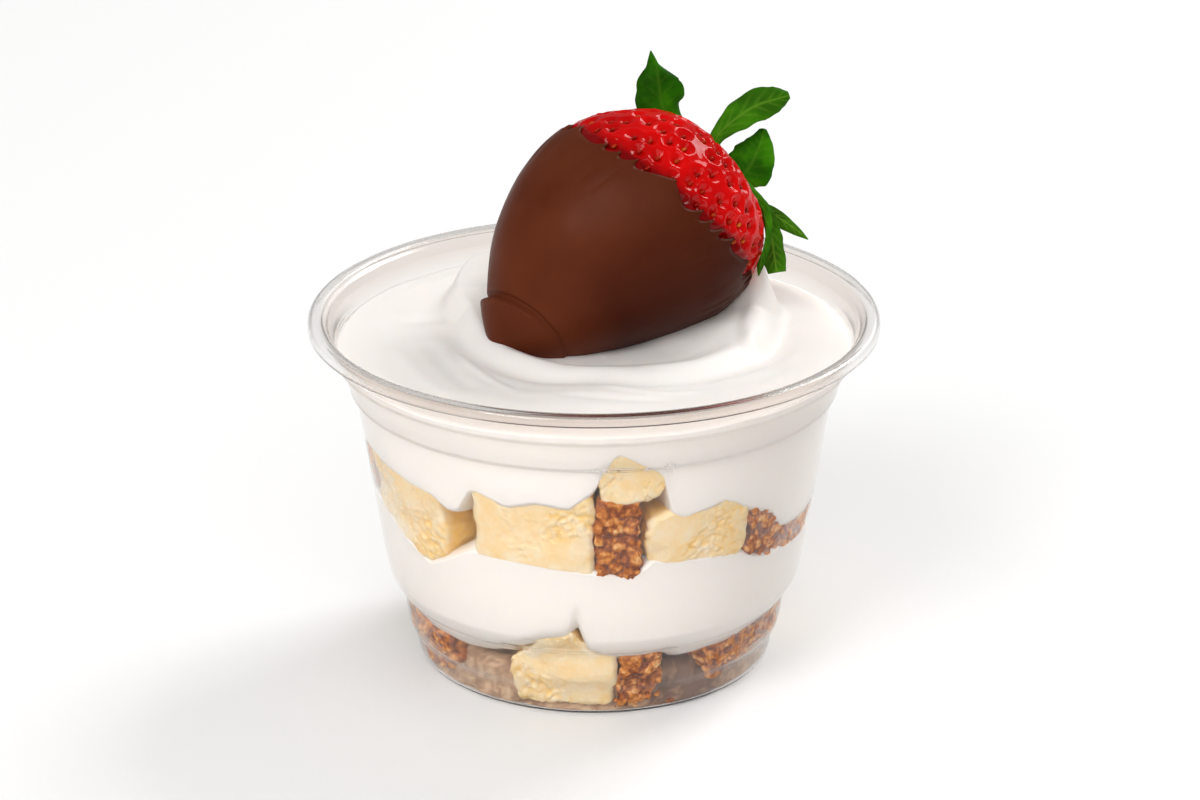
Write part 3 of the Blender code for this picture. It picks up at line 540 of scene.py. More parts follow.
def keep_in_cup(rings, clearance):
    """Points that are outside the wall or under the base are brought back to it, less the clearance."""
    radius = np.hypot(rings[..., 0], rings[..., 1])
    heights = np.maximum(rings[..., 2], FOOD_LOW)
    limit = wall_at(heights) - clearance
    rings[..., :2] *= np.minimum(1, limit / np.maximum(radius, 1e-6))[..., None]
    rings[..., 2] = heights
    return rings


# Baked cheesecake: pale yellow, dense and moist, with fine pores. It is smooth where it was cut, and
# where it broke there are curds just over 1 mm across. Painted shade makes it deeper golden between
# the curds and on the sides that lie back from the wall.
cheesecake, tree, shader = new_material("baked_cheesecake")
where = add_node(tree, "TexCoord", output="Object")
curds = add_node(tree, "TexNoise", {
    "Vector": where, "Scale": 1 / 0.0042, "Detail": 5.0, "Roughness": 0.62})
tone = add_node(tree, "ValToRGB", {"Fac": curds}, stops=[
    (0.28, "#f8d18f"), (0.42, "#fadca9"), (0.56, "#fae4bf"), (0.72, "#faebd4")])
# painted shade: mixes the cake toward deeper golden in crevices and on sides set back from the wall
recess_shade = add_node(tree, "Attribute", attribute_name="recess_shade", output="Fac")
shaded_cake = add_node(tree, "Mix", {0: recess_shade, 6: tone, 7: "#ffc948"}, data_type="RGBA", output=2)
pores = add_node(tree, "TexNoise", {"Vector": where, "Scale": 1 / 0.0007, "Detail": 4.0, "Roughness": 0.6})
bump = add_node(tree, "Bump", {"Strength": 0.35, "Distance": 0.0003, "Height": pores})
fill(shader, {"Base Color": shaded_cake, "Roughness": 0.5, "Specular IOR Level": 0.4, "Normal": bump,
              "Subsurface Weight": 0.25, "Subsurface Radius": (1.0, 0.7, 0.4), "Subsurface Scale": 0.003})

for number, (node, outline) in enumerate(CAKE_PIECES.items()):
    rings = pressed_block(outline, PIECE_DEPTH if "middle" in node else SHORT_CAKE, 0.35, number)
    broken = ramp(0.3 + 2.0 * waves(rings, 5.5, number + 60))
    curds, which = grains(rings + 0.4 * waves(rings, 1.0, number + 20)[..., None], 1.15, number)
    relief = 0.34 * waves(rings, 4.6, number) + 0.09 * waves(rings, 1.9, number + 40)
    relief += 0.09 * waves(rings, 0.7, number + 80)
    relief += broken * (0.42 * (0.5 - curds) - 0.22 * (which > 0.8))
    rings += normals_of(rings) * (relief - 0.05)[..., None]
    behind = wall_at(rings[..., 2]) - np.hypot(rings[..., 0], rings[..., 1])
    # painted shade: deeper golden between curds and on faces that lie back from the wall
    recess_shade = np.clip(broken * (curds - 0.35) - 0.25 * relief, 0, 0.7)
    recess_shade = np.minimum(recess_shade + 0.7 * ramp((behind - 0.8) / 2.2), 0.85)
    closed_surface(node.replace("cake", "cheesecake"), keep_in_cup(rings, PRESS), cheesecake,
                   node, {"recess_shade": recess_shade})


# The biscuit crust: crushed biscuit bound with butter, baked under the cheesecake and cut with it.
# It is coarse and brown, grains of one to two millimetres stuck together, moist from the cream.
CRUST_PIECES = {
    "crust_middle_left": ((-78.5, 33.4), (-72.6, 32.2), (-72.8, 42.2), (-78.5, 42.6)),
    "crust_middle_front": ((0.2, 27), (5, 26.4), (11.2, 27.4), (12.2, 34), (11.6, 42.8), (6, 43.4),
        (0.4, 43.4)),
    "crust_middle_right": ((43, 28.4), (48, 27.4), (52, 28.4), (52.6, 34.2), (50, 37.4), (43, 39)),
    "crust_middle_dark": ((50, 25), (60, 24.6), (75, 24.8), (77.5, 28.6), (74, 31.6), (62, 31.8),
        (52, 32.8)),
    "crust_middle_back_a": ((112.6, 28), (122, 28), (122, 39.4), (112.6, 40.4)),
    "crust_middle_back_b": ((162.6, 27), (172, 27), (172, 42.4), (162.6, 42.4)),
    "crust_middle_back_c": ((212.6, 27.4), (222, 27.4), (222, 40.4), (212.6, 41.2)),
    "crust_middle_back_d": ((256.6, 28.4), (266, 28.8), (266, 41.6), (256.6, 42.4)),
    "crust_bottom_front": ((7.2, 1.4), (7, 12), (14, 11.8), (21, 12.2), (22.4, 7), (19.4, 2.6), (14, 1)),
    "crust_bottom_left": ((-81, 4), (-81, 13), (-66, 12), (-58, 10.6), (-49, 10.2), (-47, 6),
        (-52, 2.2), (-66, 1.4)),
    "crust_bottom_right": ((35, 6), (34, 10.8), (46, 10.6), (60.6, 11.6), (60.6, 4.8), (45, 3.6),
        (38, 3.6)),
    "crust_bottom_right_far": ((61, 5), (61, 11.8), (81, 14.2), (82, 8.6), (72, 5)),
    "crust_bottom_back_a": ((119.6, 1), (130, 1), (130, 11.8), (119.6, 12)),
    "crust_bottom_back_b": ((171.6, 1), (182, 1), (182, 11.8), (171.6, 12.4)),
    "crust_bottom_back_c": ((223.6, 1), (234, 1), (234, 13), (223.6, 13.2))}

# Butter biscuit crumb: baked brown sugar and flour, from pale grains to dark brown ones, with a
# faint greasy sheen. The grooves between grains are painted darker, as shade.
biscuit, tree, shader = new_material("baked_biscuit_crumb")
where = add_node(tree, "TexCoord", output="Object")
shade = add_node(tree, "Attribute", attribute_name="grain_and_shade", output="Fac")
fleck = add_node(tree, "TexNoise", {"Vector": where, "Scale": 1 / 0.0009, "Detail": 4.0, "Roughness": 0.6})
blend = add_node(tree, "Math", {0: shade, 1: fleck}, operation="ADD")
spread = add_node(tree, "Math", {0: blend, 1: 0.5}, operation="MULTIPLY")
tone = add_node(tree, "ValToRGB", {"Fac": spread}, stops=[
    (0.14, "#502412"), (0.30, "#8f4a20"), (0.46, "#bd6f30"), (0.62, "#df984e"), (0.80, "#f4d19c")])
bump = add_node(tree, "Bump", {"Strength": 0.6, "Distance": 0.0004, "Height": fleck})
fill(shader, {"Base Color": tone, "Roughness": 0.55, "Specular IOR Level": 0.15, "Normal": bump})


def crumble(rings, seed, tall=1.1):
    """Relief of stuck crumbs: two sizes of grains, round and parted by grooves, on a rough ground."""
    coarse, shade = grains(rings + 0.5 * waves(rings, 1.1, seed + 30)[..., None], 1.8, seed)
    fine, fine_shade = grains(rings, 0.8, seed + 11)
    relief = tall * (0.55 - coarse) + 0.4 * tall * (0.5 - fine) + 0.6 * waves(rings, 3.0, seed)
    # painted shade: the grooves between grains are darker in tone
    groove_shade = 0.45 * ramp((coarse - 0.4) / 0.35) + 0.3 * ramp((fine - 0.45) / 0.3)
    return relief, np.clip(0.15 + 0.55 * shade + 0.5 * fine_shade - groove_shade, 0, 1)


for number, (node, outline) in enumerate(CRUST_PIECES.items()):
    rings = pressed_block(outline, PIECE_DEPTH if "middle" in node else SHORT_CRUST, 0.5, number + 50)
    relief, grain_and_shade = crumble(rings, number)
    rings += normals_of(rings) * (relief - 0.15)[..., None]
    closed_surface(node.replace("crust", "biscuit"), keep_in_cup(rings, PRESS), biscuit,
                   node, {"grain_and_shade": grain_and_shade})

# the crumb in the middle: flat on the base, out to the wall, and domed on top
CORE_RADIUS, CORE_LOW, CORE_TALL = 29.7, 0.55, 7.6
core_share = np.linspace(0, 1, 60)[:, None]
core_angles = np.linspace(0, 360, 300, endpoint=False)
core_top = np.sqrt(np.maximum(1 - (np.maximum(core_share - 0.72, 0) / 0.28) ** 2, 0))
core_radius = CORE_RADIUS * np.sin(np.minimum(core_share * 2.1, 1) * math.pi / 2) * core_top
core_height = CORE_LOW + CORE_TALL * ramp((core_share - 0.5) / 0.34)
core_rings = around(core_radius, core_angles, core_height)
relief, grain_and_shade = crumble(core_rings, 70, 0.5)
# painted shadow: the crumb is darker round 30 degrees, in the gap right of the front piece
grain_and_shade = 0.3 + 0.5 * grain_and_shade - 0.5 * bell(core_angles - 30, 14)
relief = relief * ramp(core_share * 6) * ramp((1 - core_share) * 6)
core_rings += normals_of(core_rings) * relief[..., None]

# Biscuit crumb that has drawn up cream: the same crumb, but soft, paler and even in colour.
soaked_biscuit, tree, shader = new_material("cream_soaked_biscuit")
shade = add_node(tree, "Attribute", attribute_name="grain_and_shade", output="Fac")
tone = add_node(tree, "ValToRGB", {"Fac": shade}, stops=[
    (0.10, "#76594a"), (0.45, "#b08d70"), (0.80, "#d3b798")])
fill(shader, {"Base Color": tone, "Roughness": 0.5})
closed_surface("biscuit_base", keep_in_cup(core_rings, 0.25), soaked_biscuit,
               "crust_bottom_core", {"grain_and_shade": grain_and_shade})


# The strawberry: a whole ripe fruit on its side, its tip down in the cream. Seeds sit in dimples all
# over the skin that shows, and the skin is painted darker next to the chocolate, as shade.
BERRY_TIP = np.array([-16.54, -5.36, 57.04])
BERRY_LONG, BERRY_THICK, BERRY_WIDEST = 51.05, 20.1, 0.675
BERRY_AXES = np.array([[-0.178, 0.859, -0.481], [-0.581, 0.303, 0.755], [0.794, 0.414, 0.445]])
SEED_SPACING = 3.7
SEED_RANGE = (0.45, 0.995)     # where the rows of seeds run, as shares of the fruit's length
SEED_SUNK = 0.46
SEED_LONG, SEED_WIDE = 1.1, 0.7
DIMPLE_DEEP, DIMPLE_WIDE = 0.85, 1.05
GOLDEN_ANGLE = math.radians(137.508)
# the dip line of the chocolate: turn round the fruit in degrees, and length from its tip
COAT_EDGE = (
    (0, 36.5), (45, 33.5), (90, 31.5), (115, 31.7), (136, 32.2), (155, 33.9), (176, 36.2), (190, 37.2),
    (208, 39.4), (225, 41.2), (248, 41.5), (270, 41.4), (315, 40))
DIP_BLUR = 4.0


def berry_outline(share):
    """Radius and place on the axis: a blunt cone up to the widest part, a round shoulder, a dimple."""
    before = 1 - (1 - np.clip(share / BERRY_WIDEST, 0, 1)) ** 1.9
    after = 1 - np.clip((share - BERRY_WIDEST) / (1 - BERRY_WIDEST), 0, 1) ** 1.4
    radius = BERRY_THICK * np.where(share < BERRY_WIDEST, before ** (1 / 1.373), after ** (1 / 3.94))
    dimple = 1.6 * bell(radius, 5.0) * (share > BERRY_WIDEST)
    return np.stack([radius, share * BERRY_LONG - dimple], axis=-1)


def berry_bow(share):
    """How far the middle of the section lies off the straight axis."""
    return 3.4 * np.sin(math.pi * share) + 0.5 * np.sin(2 * math.pi * share) + 1.42 * share


def on_berry(share, turn, proud):
    """Points of the strawberry's frame at a share of its length and a turn, moved out by proud."""
    line = berry_outline(share)
    before, after = (berry_outline(np.clip(share + shift, 0, 1)) for shift in (-1e-3, 1e-3))
    slope = unit(after - before)
    pole = (share <= 0) | (share >= 1)
    radius = line[..., 0] + proud * np.where(pole, 0.0, slope[..., 1])
    along = line[..., 1] + proud * np.where(pole, np.sign(share - 0.5), -slope[..., 0])
    return join(radius * np.cos(turn), radius * np.sin(turn) + berry_bow(share), along)


def in_world(points):
    """Points of the strawberry's frame in the cup's frame."""
    return BERRY_TIP + points @ BERRY_AXES


to_end = 1 - 0.069 * np.linspace(1, 0, 60) ** 2
berry_share = np.concatenate([np.linspace(0, 0.55, 40), np.linspace(0.555, 0.93, 110), to_end])
berry_turn = np.radians(np.linspace(0, 360, 400, endpoint=False))
grid_share, grid_turn = np.meshgrid(berry_share, berry_turn, indexing="ij")
smooth_skin = on_berry(grid_share, grid_turn, 0.0)

# seeds wind round the fruit by the golden angle, evenly spaced by area
fine_share = np.linspace(*SEED_RANGE, 400)
fine_line = berry_outline(fine_share)
ring_area = 2 * math.pi * fine_line[1:, 0] * np.linalg.norm(np.diff(fine_line, axis=0), axis=1)
covered = np.concatenate([[0], np.cumsum(ring_area)])
seed_count = int(covered[-1] / (SEED_SPACING ** 2 * 0.9))
order = np.arange(seed_count)
seed_share = np.interp((order + 0.5) / seed_count * covered[-1], covered, fine_share)
seed_turn = order * GOLDEN_ANGLE
wobble = [cell_value(join(order, order, order), seed) - 0.5 for seed in (9, 10)]
seed_turn = seed_turn + wobble[0] * 1.7 / np.maximum(berry_outline(seed_share)[:, 0], 3)
seed_share = np.clip(seed_share + wobble[1] * 1.5 / BERRY_LONG, *SEED_RANGE)
bare = seed_share * BERRY_LONG > edge_height(COAT_EDGE, np.degrees(seed_turn) % 360, DIP_BLUR) - 1.5
seed_share, seed_turn = seed_share[bare], seed_turn[bare]
seed_places = on_berry(seed_share, seed_turn, 0.0)

skin_dent = np.zeros_like(grid_share)
near_seed = np.zeros_like(grid_share)
for place in seed_places:
    near = np.linalg.norm(smooth_skin - place, axis=-1)
    skin_dent += 0.13 * bell(near - 1.75, 0.5) - DIMPLE_DEEP * bell(near, DIMPLE_WIDE)
    near_seed = np.maximum(near_seed, bell(near, 1.0))
skin_dent += 0.15 * waves(smooth_skin, 6.0, 21)
skin_dent -= 0.5 * ramp((13.0 - grid_share * BERRY_LONG) / 3.0)
skin_dent *= ramp((1 - grid_share) * 60) * ramp(grid_share * 20)
skin = on_berry(grid_share, grid_turn, skin_dent)
from_dip = grid_share * BERRY_LONG - edge_height(COAT_EDGE, np.degrees(grid_turn), DIP_BLUR)
# painted shade: the skin darkens just past the chocolate's dip line and fades over about a millimetre
dip_shade = np.exp(-np.maximum(from_dip - 0.4, 0) / 1.1)

# Ripe strawberry skin: a thin wet-looking skin over red flesh that glows a little. Each dimple is
# lighter round its seed, and small white lights sit on the dimples' rims.
berry_skin, tree, shader = new_material("ripe_strawberry_skin")
where = add_node(tree, "TexCoord", output="Object")
blush = add_node(tree, "TexNoise", {"Vector": where, "Scale": 1 / 0.009, "Detail": 2.0})
tone = add_node(tree, "ValToRGB", {"Fac": blush}, stops=[
    (0.30, "#b40103"), (0.55, "#ce0203"), (0.75, "#de0703")])
# the second mark is painted shade, deep red next to the chocolate
for mark, colour in (("seedbed", "#d0120a"), ("dip_line_shade", "#4e0204")):
    amount = add_node(tree, "Attribute", attribute_name=mark, output="Fac")
    tone = add_node(tree, "Mix", {0: amount, 6: tone, 7: colour}, data_type="RGBA", output=2)
fill(shader, {"Base Color": tone, "Roughness": 0.3, "Specular IOR Level": 0.01, "Coat Weight": 0.4,
              "Coat Roughness": 0.04, "Coat IOR": 1.45, "Subsurface Weight": 0.12,
              "Subsurface Radius": (1.0, 0.1, 0.06), "Subsurface Scale": 0.002})
closed_surface("strawberry_fruit", in_world(skin), berry_skin, "strawberry",
               {"seedbed": near_seed * 0.4, "dip_line_shade": dip_shade * 0.75})


def ball(rows, columns):
    """Rings of a ball of radius 1, from pole to pole."""
    rise = np.linspace(0, math.pi, rows)[:, None]
    spin = np.linspace(0, 2 * math.pi, columns, endpoint=False)
    return join(np.sin(rise) * np.cos(spin), np.sin(rise) * np.sin(spin), np.cos(rise))


# seeds: small drops, their narrow end to the leaves, all in one mesh
long_axis = unit(on_berry(np.clip(seed_share + 0.004, 0, 1), seed_turn, 0.0) - seed_places)
out_axis = on_berry(seed_share, seed_turn, 1.0) - seed_places
wide_axis = np.cross(long_axis, out_axis)
seat, long_axis, wide_axis, out_axis = (
    part[:, None, None, :] for part in (seed_places - SEED_SUNK * out_axis, long_axis, wide_axis, out_axis))
aside, above, along = (ball(5, 6)[..., axis, None] for axis in (0, 1, 2))
seeds = (seat + along * 0.5 * SEED_LONG * long_axis
         + aside * (1 - 0.25 * along) * 0.5 * SEED_WIDE * wide_axis + above * 0.3 * out_axis)

# Strawberry seeds: small hard nuts, from orange to dark red, with a faint waxy sheen.
seed_shell, tree, shader = new_material("strawberry_seed_shell")
where = add_node(tree, "TexCoord", output="Object")
ripe = add_node(tree, "TexNoise", {"Vector": where, "Scale": 1 / 0.004})
tone = add_node(tree, "ValToRGB", {"Fac": ripe}, stops=[
    (0.35, "#8a0c05"), (0.55, "#a8220a"), (0.76, "#cc7426")])
fill(shader, {"Base Color": tone, "Roughness": 0.35, "Specular IOR Level": 0.1})
closed_surface("strawberry_seeds", in_world(seeds), seed_shell)


# The chocolate coat: the fruit was dipped tip first in melted chocolate. A second, thicker layer,
# the foot, covers its tip up to a sharp crease. The dip line climbs between the seeds.
COAT_PROUD = (0.3, 0.62)   # over the middle, and near the edge
TOOTH = 12.4               # degrees round the fruit from one tooth of the edge to the next
FOOT_PROUD = 1.15
CREASE_ALONG, CREASE_SLANT = 6.3, 2.3    # from the tip
GROOVE_DEEP = 0.42
INSIDE_FRUIT = 0.9         # how deep the coat's hidden back lies in the fruit

coat_turns = np.degrees(np.linspace(0, 2 * math.pi, 560, endpoint=False))
tooth_phase = coat_turns / TOOTH + 1.1 * waves(join(coat_turns / 9, 0, 0), 3.0, 5)
tooth = 1 - np.abs(np.sin(0.5 * math.pi * (tooth_phase % 1.0) ** 0.7 * 2)) ** 0.75
tooth_tall = 2.2 + waves(join(coat_turns / 9, 5, 0), 2.0, 6)
edge_along = edge_height(COAT_EDGE, coat_turns, DIP_BLUR) - 1.1 + tooth * tooth_tall
coat_steps = [np.linspace(*span) for span in ((0, 0.24, 60), (0.245, 0.93, 70), (0.94, 1.0, 14))]
grid_step, grid_turn = np.meshgrid(np.concatenate(coat_steps), np.radians(coat_turns), indexing="ij")
grid_share = grid_step * edge_along / BERRY_LONG
near_edge = ramp((grid_step - 0.72) / 0.2)
thick = COAT_PROUD[0] + (COAT_PROUD[1] - COAT_PROUD[0]) * near_edge
thick = thick * np.sqrt(np.clip((1.0 - grid_step) / 0.022, 0.05, 1))
coat_places = on_berry(grid_share, grid_turn, 0.0)
crease = CREASE_ALONG - CREASE_SLANT * np.sin(grid_turn) + 0.35 * waves(coat_places, 4.0, 31)
above = grid_share * BERRY_LONG - crease
fade = 0.35 + 0.65 * ramp((np.sin(grid_turn) + 0.95) / 1.5)
foot = FOOT_PROUD * fade * ramp(-above / 0.4) * (1 - 0.35 * ramp(-above / 5.0))
groove = -GROOVE_DEEP * bell(above - 0.26, 0.2) * ramp(1.3 + np.sin(grid_turn))
uneven = 0.16 * waves(coat_places, 9.0, 32) + 0.05 * waves(coat_places, 3.0, 33)
proud = thick + foot + groove + uneven * ramp((1 - grid_step) * 12)
coat_outer = on_berry(grid_share, grid_turn, proud)
grid_step, inner_turn = np.meshgrid(np.linspace(1.0, 0.0, 30)[1:], np.radians(coat_turns), indexing="ij")
sunk = INSIDE_FRUIT * ramp((1 - grid_step) * 20)
coat_inner = on_berry(grid_step * edge_along / BERRY_LONG, inner_turn, -sunk)
coat_all = np.concatenate([coat_outer, coat_inner])
# painted shade: the coat turns darker on its lower side, away from the tip
lower_side = ramp(0.25 - np.sin(np.broadcast_to(grid_turn[:1], coat_all.shape[:2])) * 0.85)
lower_side_shade = lower_side * ramp((coat_all[..., 2] - 9.0) / 10.0)

# Tempered milk chocolate: brown with a soft satin sheen, slightly uneven where it ran, and painted
# darker on the lower side, as shade.
milk_chocolate, tree, shader = new_material("set_milk_chocolate")
where = add_node(tree, "TexCoord", output="Object")
run = add_node(tree, "TexNoise", {"Vector": where, "Scale": 1 / 0.012, "Detail": 3.0})
tone = add_node(tree, "ValToRGB", {"Fac": run}, stops=[
    (0.3, "#562512"), (0.6, "#602c17"), (0.8, "#66321c")])
shade_mark = add_node(tree, "Attribute", attribute_name="lower_side_shade", output="Fac")
shaded_chocolate = add_node(tree, "Mix", {0: shade_mark, 6: tone, 7: "#2f0a02"}, data_type="RGBA", output=2)
skin_run = add_node(tree, "TexNoise", {"Vector": where, "Scale": 1 / 0.003, "Detail": 2.0})
bump = add_node(tree, "Bump", {"Strength": 0.06, "Distance": 0.0005, "Height": skin_run})
fill(shader, {"Base Color": shaded_chocolate, "Roughness": 0.4, "Specular IOR Level": 0.06, "Normal": bump})
closed_surface("chocolate_coat", in_world(coat_all), milk_chocolate, "chocolate",
               {"lower_side_shade": lower_side_shade * 0.75})


# The leaves: the calyx of the fruit, thin sepals that stand off its end and curl, each with a middle
# rib, side veins and a slightly wavy edge. The stub of the stem is in their middle.
LEAF_THICK = 0.4
CALYX = np.array([0.0, 1.42, BERRY_LONG])
# node: route in mm from the calyx's middle, as away from the front, across and along the fruit; the
# direction that it faces; half widths on its two sides from its base to its tip; cupping; paleness of
# its veins and, as painted light, of the whole leaf
LEAVES = {
    "leaf_upright": (((4.2, 3.6, 0.2), (6, 9.5, -0.4), (5, 15.4, -1.4), (4.2, 19.6, 0.3),
        (4.2, 22.5, 1.9), (4.6, 25.4, 2.9)), (1, 0, 0), ((1, 1.2, 3, 4.8, 3.9, 0.7, 0.1),
        (0.8, 0.9, 3.2, 4.3, 3.4, 1.8, 0.1)), 1.2, 0.2),
    "leaf_pointing": (((-2, 1.6, 0.5), (-1.8, 5.6, 0.8), (-1.8, 6.8, 4.2), (-1.8, 6.9, 9.9),
        (-1.8, 5.8, 14), (-1.9, 4.9, 16.6)), (1, 0, 0.1), ((0.7, 0.9, 1.5, 2.4, 2.8, 2.2, 0.5),
        (0.7, 0.9, 1.5, 2.6, 2.9, 2.4, 0.9)), 0.6, 0.6),
    "leaf_curled": (((2.4, -2, 0.6), (1.8, -1.6, 2.2), (1.6, -1, 4.4), (1.6, 0.3, 7), (1.6, 1.5, 8.8),
        (1.8, 2.9, 10.5)), (1, 0, 0.2), ((0.9, 2.4, 4.2, 4.1, 3, 2.1, 0.6),
        (0.9, 2.4, 4.2, 4.1, 3.1, 2.2, 0.8)), 1.1, 0.25),
    "leaf_right": (((0.4, -3.4, 0.5), (-0.6, -7, 0.7), (-1.6, -10.4, 1.9), (-1.8, -13.8, 3.2),
        (-1.8, -17.2, 4.3)), (1, 0, 0), ((0.8, 1.1, 1.3, 1.4, 1.25, 0.85, 0.1),
        (0.8, 1.1, 1.3, 1.4, 1.2, 0.8, 0.1)), 0.4, 1),
    "leaf_lower": (((-1.8, -3.4, 0.5), (-2.8, -8.2, 0.3), (-3.2, -12.4, -0.9), (-3.2, -15.6, -2.5),
        (-3.2, -18.7, -4.1)), (1, 0, 0.2), ((0.8, 1.4, 1.8, 2, 2.1, 2.1, 1.5),
        (0.8, 1.4, 1.8, 1.9, 2, 2, 1.7)), 0.5, 0.9),
    "leaf_narrow": (((-3.2, -2.4, 0.5), (-6, -8.6, -0.6), (-6.5, -13.6, -4.2), (-6.5, -17.4, -8)),
        (1, 0, 0.3), ((0.7, 1.1, 1.4, 1.5, 1.3, 0.9, 0.1), (0.7, 1, 1.3, 1.4, 1.2, 0.8, 0.1)), 0.4, 0.5),
    "leaf_behind": (((4.2, 1.6, 0.8), (8.5, 3.2, 0.6), (13, 4.6, -1.4), (17, 5.6, -5)), (0, 0, 1),
        ((0.9, 2.2, 3.2, 3.3, 2.6, 1.4, 0.1), (0.9, 2, 3, 3.2, 2.5, 1.3, 0.1)), 0.6, 0.4),
    "leaf_back": (((4.6, -1.4, 0.8), (10, -4.4, 0.8), (15.4, -7.6, -1.4), (19.6, -10.2, -3.6)),
        (0, 0, 1), ((0.9, 2, 2.8, 2.9, 2.2, 1.2, 0.1), (0.9, 1.9, 2.7, 2.8, 2.1, 1.1, 0.1)), 0.6, 0.4)}


def smooth_route(knots, count):
    """Points on a Catmull-Rom curve, which goes through every knot with a shared slope."""
    knots = np.array(knots, float)
    knots = np.vstack([2 * knots[0] - knots[1], knots, 2 * knots[-1] - knots[-2]])
    place = np.linspace(0, len(knots) - 3, count)
    index = np.minimum(place.astype(int), len(knots) - 4)
    part = (place - index)[:, None]
    before, here, there, after = (knots[index + shift] for shift in range(4))
    square, cube = 2 * before - 5 * here + 4 * there - after, 3 * here - before - 3 * there + after
    return 0.5 * (2 * here + (there - before) * part + square * part ** 2 + cube * part ** 3)


def lay_on_berry(points, clear):
    """Points inside the fruit, or nearer to its skin than clear, are moved out along its normal."""
    share = np.linspace(0.5, 1.0, 200)
    outline = berry_outline(share)
    slope = unit(np.gradient(outline, axis=0))
    out = np.stack([slope[:, 1], -slope[:, 0]], axis=1)
    side = points[..., 1] - berry_bow(np.clip(points[..., 2] / BERRY_LONG, 0, 1))
    radius = np.hypot(points[..., 0], side)
    place = np.stack([radius, points[..., 2]], axis=-1)
    nearest = np.linalg.norm(place[..., None, :] - outline, axis=-1).argmin(axis=-1)
    height = ((place - outline[nearest]) * out[nearest]).sum(axis=-1)
    moved = place + out[nearest] * np.maximum(clear - height, 0)[..., None]
    grow = moved[..., 0] / np.maximum(radius, 1e-6)
    return join(points[..., 0] * grow, points[..., 1] + side * (grow - 1), moved[..., 1])


def leaf_blade(route, facing, halves, cup, number):
    """A blade as flat rings round its spine: over its upper face from edge to edge, and back below.

    Across the blade a point is lane * half width; the face rises by cup * lane^2, ripples at its edge
    and sinks at the rib and side veins. Returns the rings and how much of a vein each point is.
    """
    stations, lanes = 70, 33
    spine = smooth_route(route, stations)
    ahead = unit(np.gradient(spine, axis=0))
    across = unit(np.cross(ahead, np.array(facing, float)))
    face = np.cross(across, ahead)
    share = np.linspace(0, 1, stations)[:, None]
    knots = np.linspace(0, 1, len(halves[0]))
    left, right = (np.interp(share, knots, half) for half in halves)
    lane = np.linspace(-1, 1, lanes)[None]
    wavy = waves(join(share * 14, np.sign(lane) * 3, 0), 1.0, number)
    width = np.where(lane < 0, left, right) * (1 + 0.06 * wavy)
    vein = bell(lane, 0.07)
    slant = (share * 9 - np.abs(lane) * 1.6) % 1.0
    vein = np.maximum(vein, 0.55 * bell(slant - 0.5, 0.13) * ramp(1.1 - np.abs(lane)) * (share > 0.08))
    lift = cup * lane ** 2 + 0.3 * np.sin(11 * share + 2.2 * lane + number) * lane ** 2 - 0.16 * vein
    lift = lift * np.minimum(1, width / 1.5)
    thick = LEAF_THICK * (1 - 0.7 * lane ** 4) * np.minimum(1, 8 * (1.02 - share)) / 2
    flat = spine[:, None] + across[:, None] * (width * lane)[..., None]
    upper = flat + face[:, None] * (lift + thick)[..., None]
    lower = flat + face[:, None] * (lift - thick)[..., None]
    rings = np.concatenate([upper, lower[:, -2:0:-1]], axis=1)
    veins = np.concatenate([vein, vein[:, -2:0:-1]], axis=1)
    ends = rings.mean(axis=1, keepdims=True)
    tip = np.repeat(ends[[0, -1]], rings.shape[1], axis=1)
    veins = np.concatenate([veins[:1], veins, veins[-1:]])
    return np.concatenate([tip[:1], rings, tip[1:]]), veins


# Fresh strawberry leaf: green, with paler ribs and veins, and dulled by fine hairs. Some leaves are
# painted paler all over, as light falling on them.
leaf_green, tree, shader = new_material("fresh_sepal_green")
where = add_node(tree, "TexCoord", output="Object")
patch = add_node(tree, "TexNoise", {"Vector": where, "Scale": 1 / 0.006, "Detail": 3.0})
tone = add_node(tree, "ValToRGB", {"Fac": patch}, stops=[
    (0.32, "#0c3c01"), (0.5, "#1f5f03"), (0.68, "#3c8207")])
vein_and_light_mark = add_node(tree, "Attribute", attribute_name="vein", output="Fac")
paler = add_node(tree, "Math", {0: vein_and_light_mark, 1: 0.5}, operation="MULTIPLY")
leaf_tone = add_node(tree, "Mix", {0: paler, 6: tone, 7: "#6f9c2c"}, data_type="RGBA", output=2)
hairs = add_node(tree, "TexNoise", {"Vector": where, "Scale": 1 / 0.0006, "Detail": 3.0})
bump = add_node(tree, "Bump", {"Strength": 0.25, "Distance": 0.0002, "Height": hairs})
fill(shader, {"Base Color": leaf_tone, "Roughness": 0.45, "Specular IOR Level": 0.015, "Normal": bump})

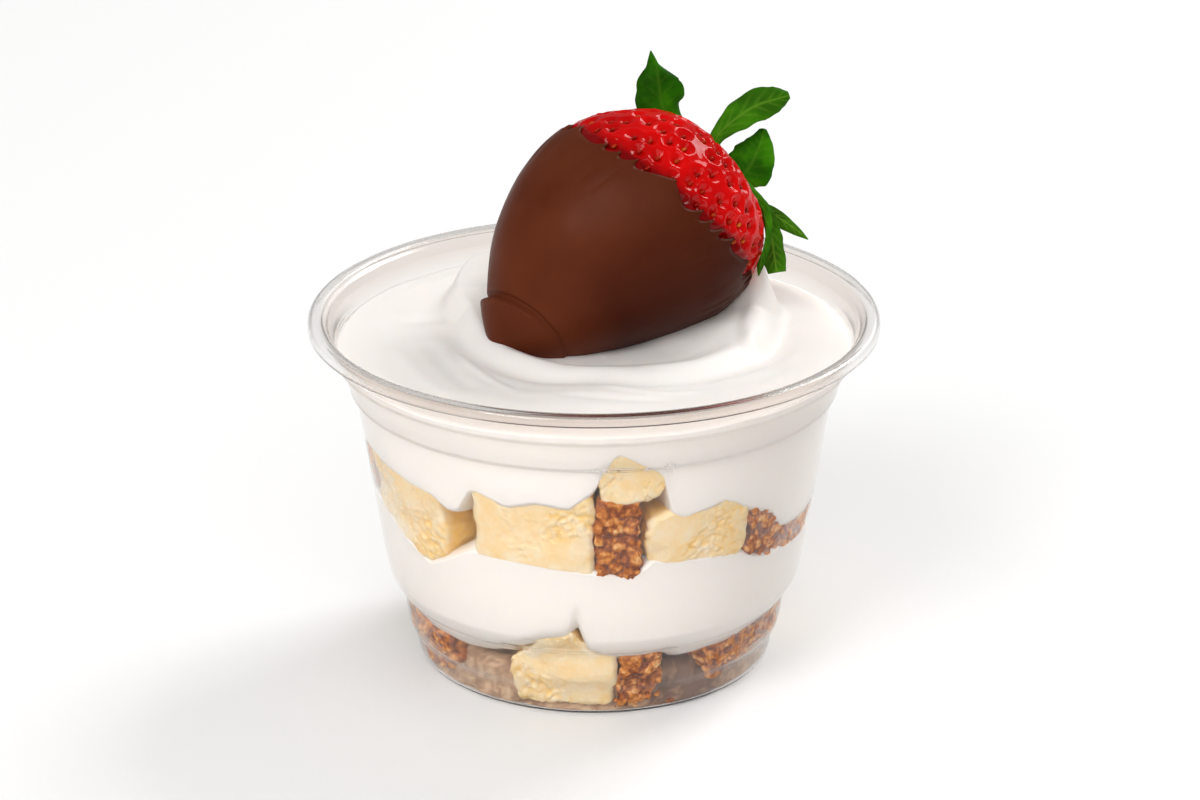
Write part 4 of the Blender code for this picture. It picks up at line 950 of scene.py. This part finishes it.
for number, (node, (route, facing, halves, cup, paleness_and_light)) in enumerate(LEAVES.items()):
    rings, veins = leaf_blade(route, facing, halves, cup, number)
    rings = lay_on_berry(rings + CALYX, LEAF_THICK)
    # painted light: the constant part of the mark pales the whole leaf, most where paleness is high
    closed_surface(node.replace("leaf", "sepal"), in_world(rings), leaf_green, node,
                   {"vein": (1.6 * veins + 0.4) * paleness_and_light})

stub_turn = np.linspace(0, 2 * math.pi, 24, endpoint=False)
stub_line = rounded(((0, -1.3), (1.5, -1.0), (1.4, 0.6), (1.1, 2.0), (0.6, 2.25), (0, 2.3)), 0.4)
stub_radius, stub_along = stub_line[:, :1], stub_line[:, 1:]
stub = join(stub_radius * np.cos(stub_turn), stub_radius * np.sin(stub_turn), stub_along) + CALYX
closed_surface("stem_stub", in_world(stub), leaf_green, "stem",
               {"vein": np.full(stub.shape[:2], 0.6)})


# Loose crumbs: biscuit that broke off and lies on the base between the pieces.
CRUMBS = 60
order = np.arange(CRUMBS)
lots = [cell_value(join(order, order, order), seed) for seed in range(20, 26)]
# gaps between the pieces, as angles; the last one is drawn three times as often
free = np.array([(22.5, 30), (130, 138), (182, 190), (234, 242), (6, 27)])
chosen = free[np.minimum((lots[0] * 7).astype(int), 4)]
crumb_angle = chosen[:, 0] + (chosen[:, 1] - chosen[:, 0]) * lots[1]
crumb_size = 0.4 + 0.6 * lots[2] ** 2
crumb_height = FOOD_LOW + crumb_size * 0.7 + 2.4 * lots[3] ** 3
crumb_radius = wall_at(crumb_height) - 0.3 - crumb_size - 3.0 * lots[4]
middles = around(crumb_radius, crumb_angle, crumb_height)[:, None, None]
crumbs = middles + ball(7, 9) * crumb_size[:, None, None, None] * np.array([1.1, 0.9, 0.7])
crumbs += ball(7, 9) * (0.3 * waves(crumbs, 0.9, 50))[..., None]
closed_surface("loose_crumbs", keep_in_cup(crumbs, 0.2), biscuit, "",
               {"grain_and_shade": np.broadcast_to(lots[5][:, None, None], crumbs.shape[:3])})
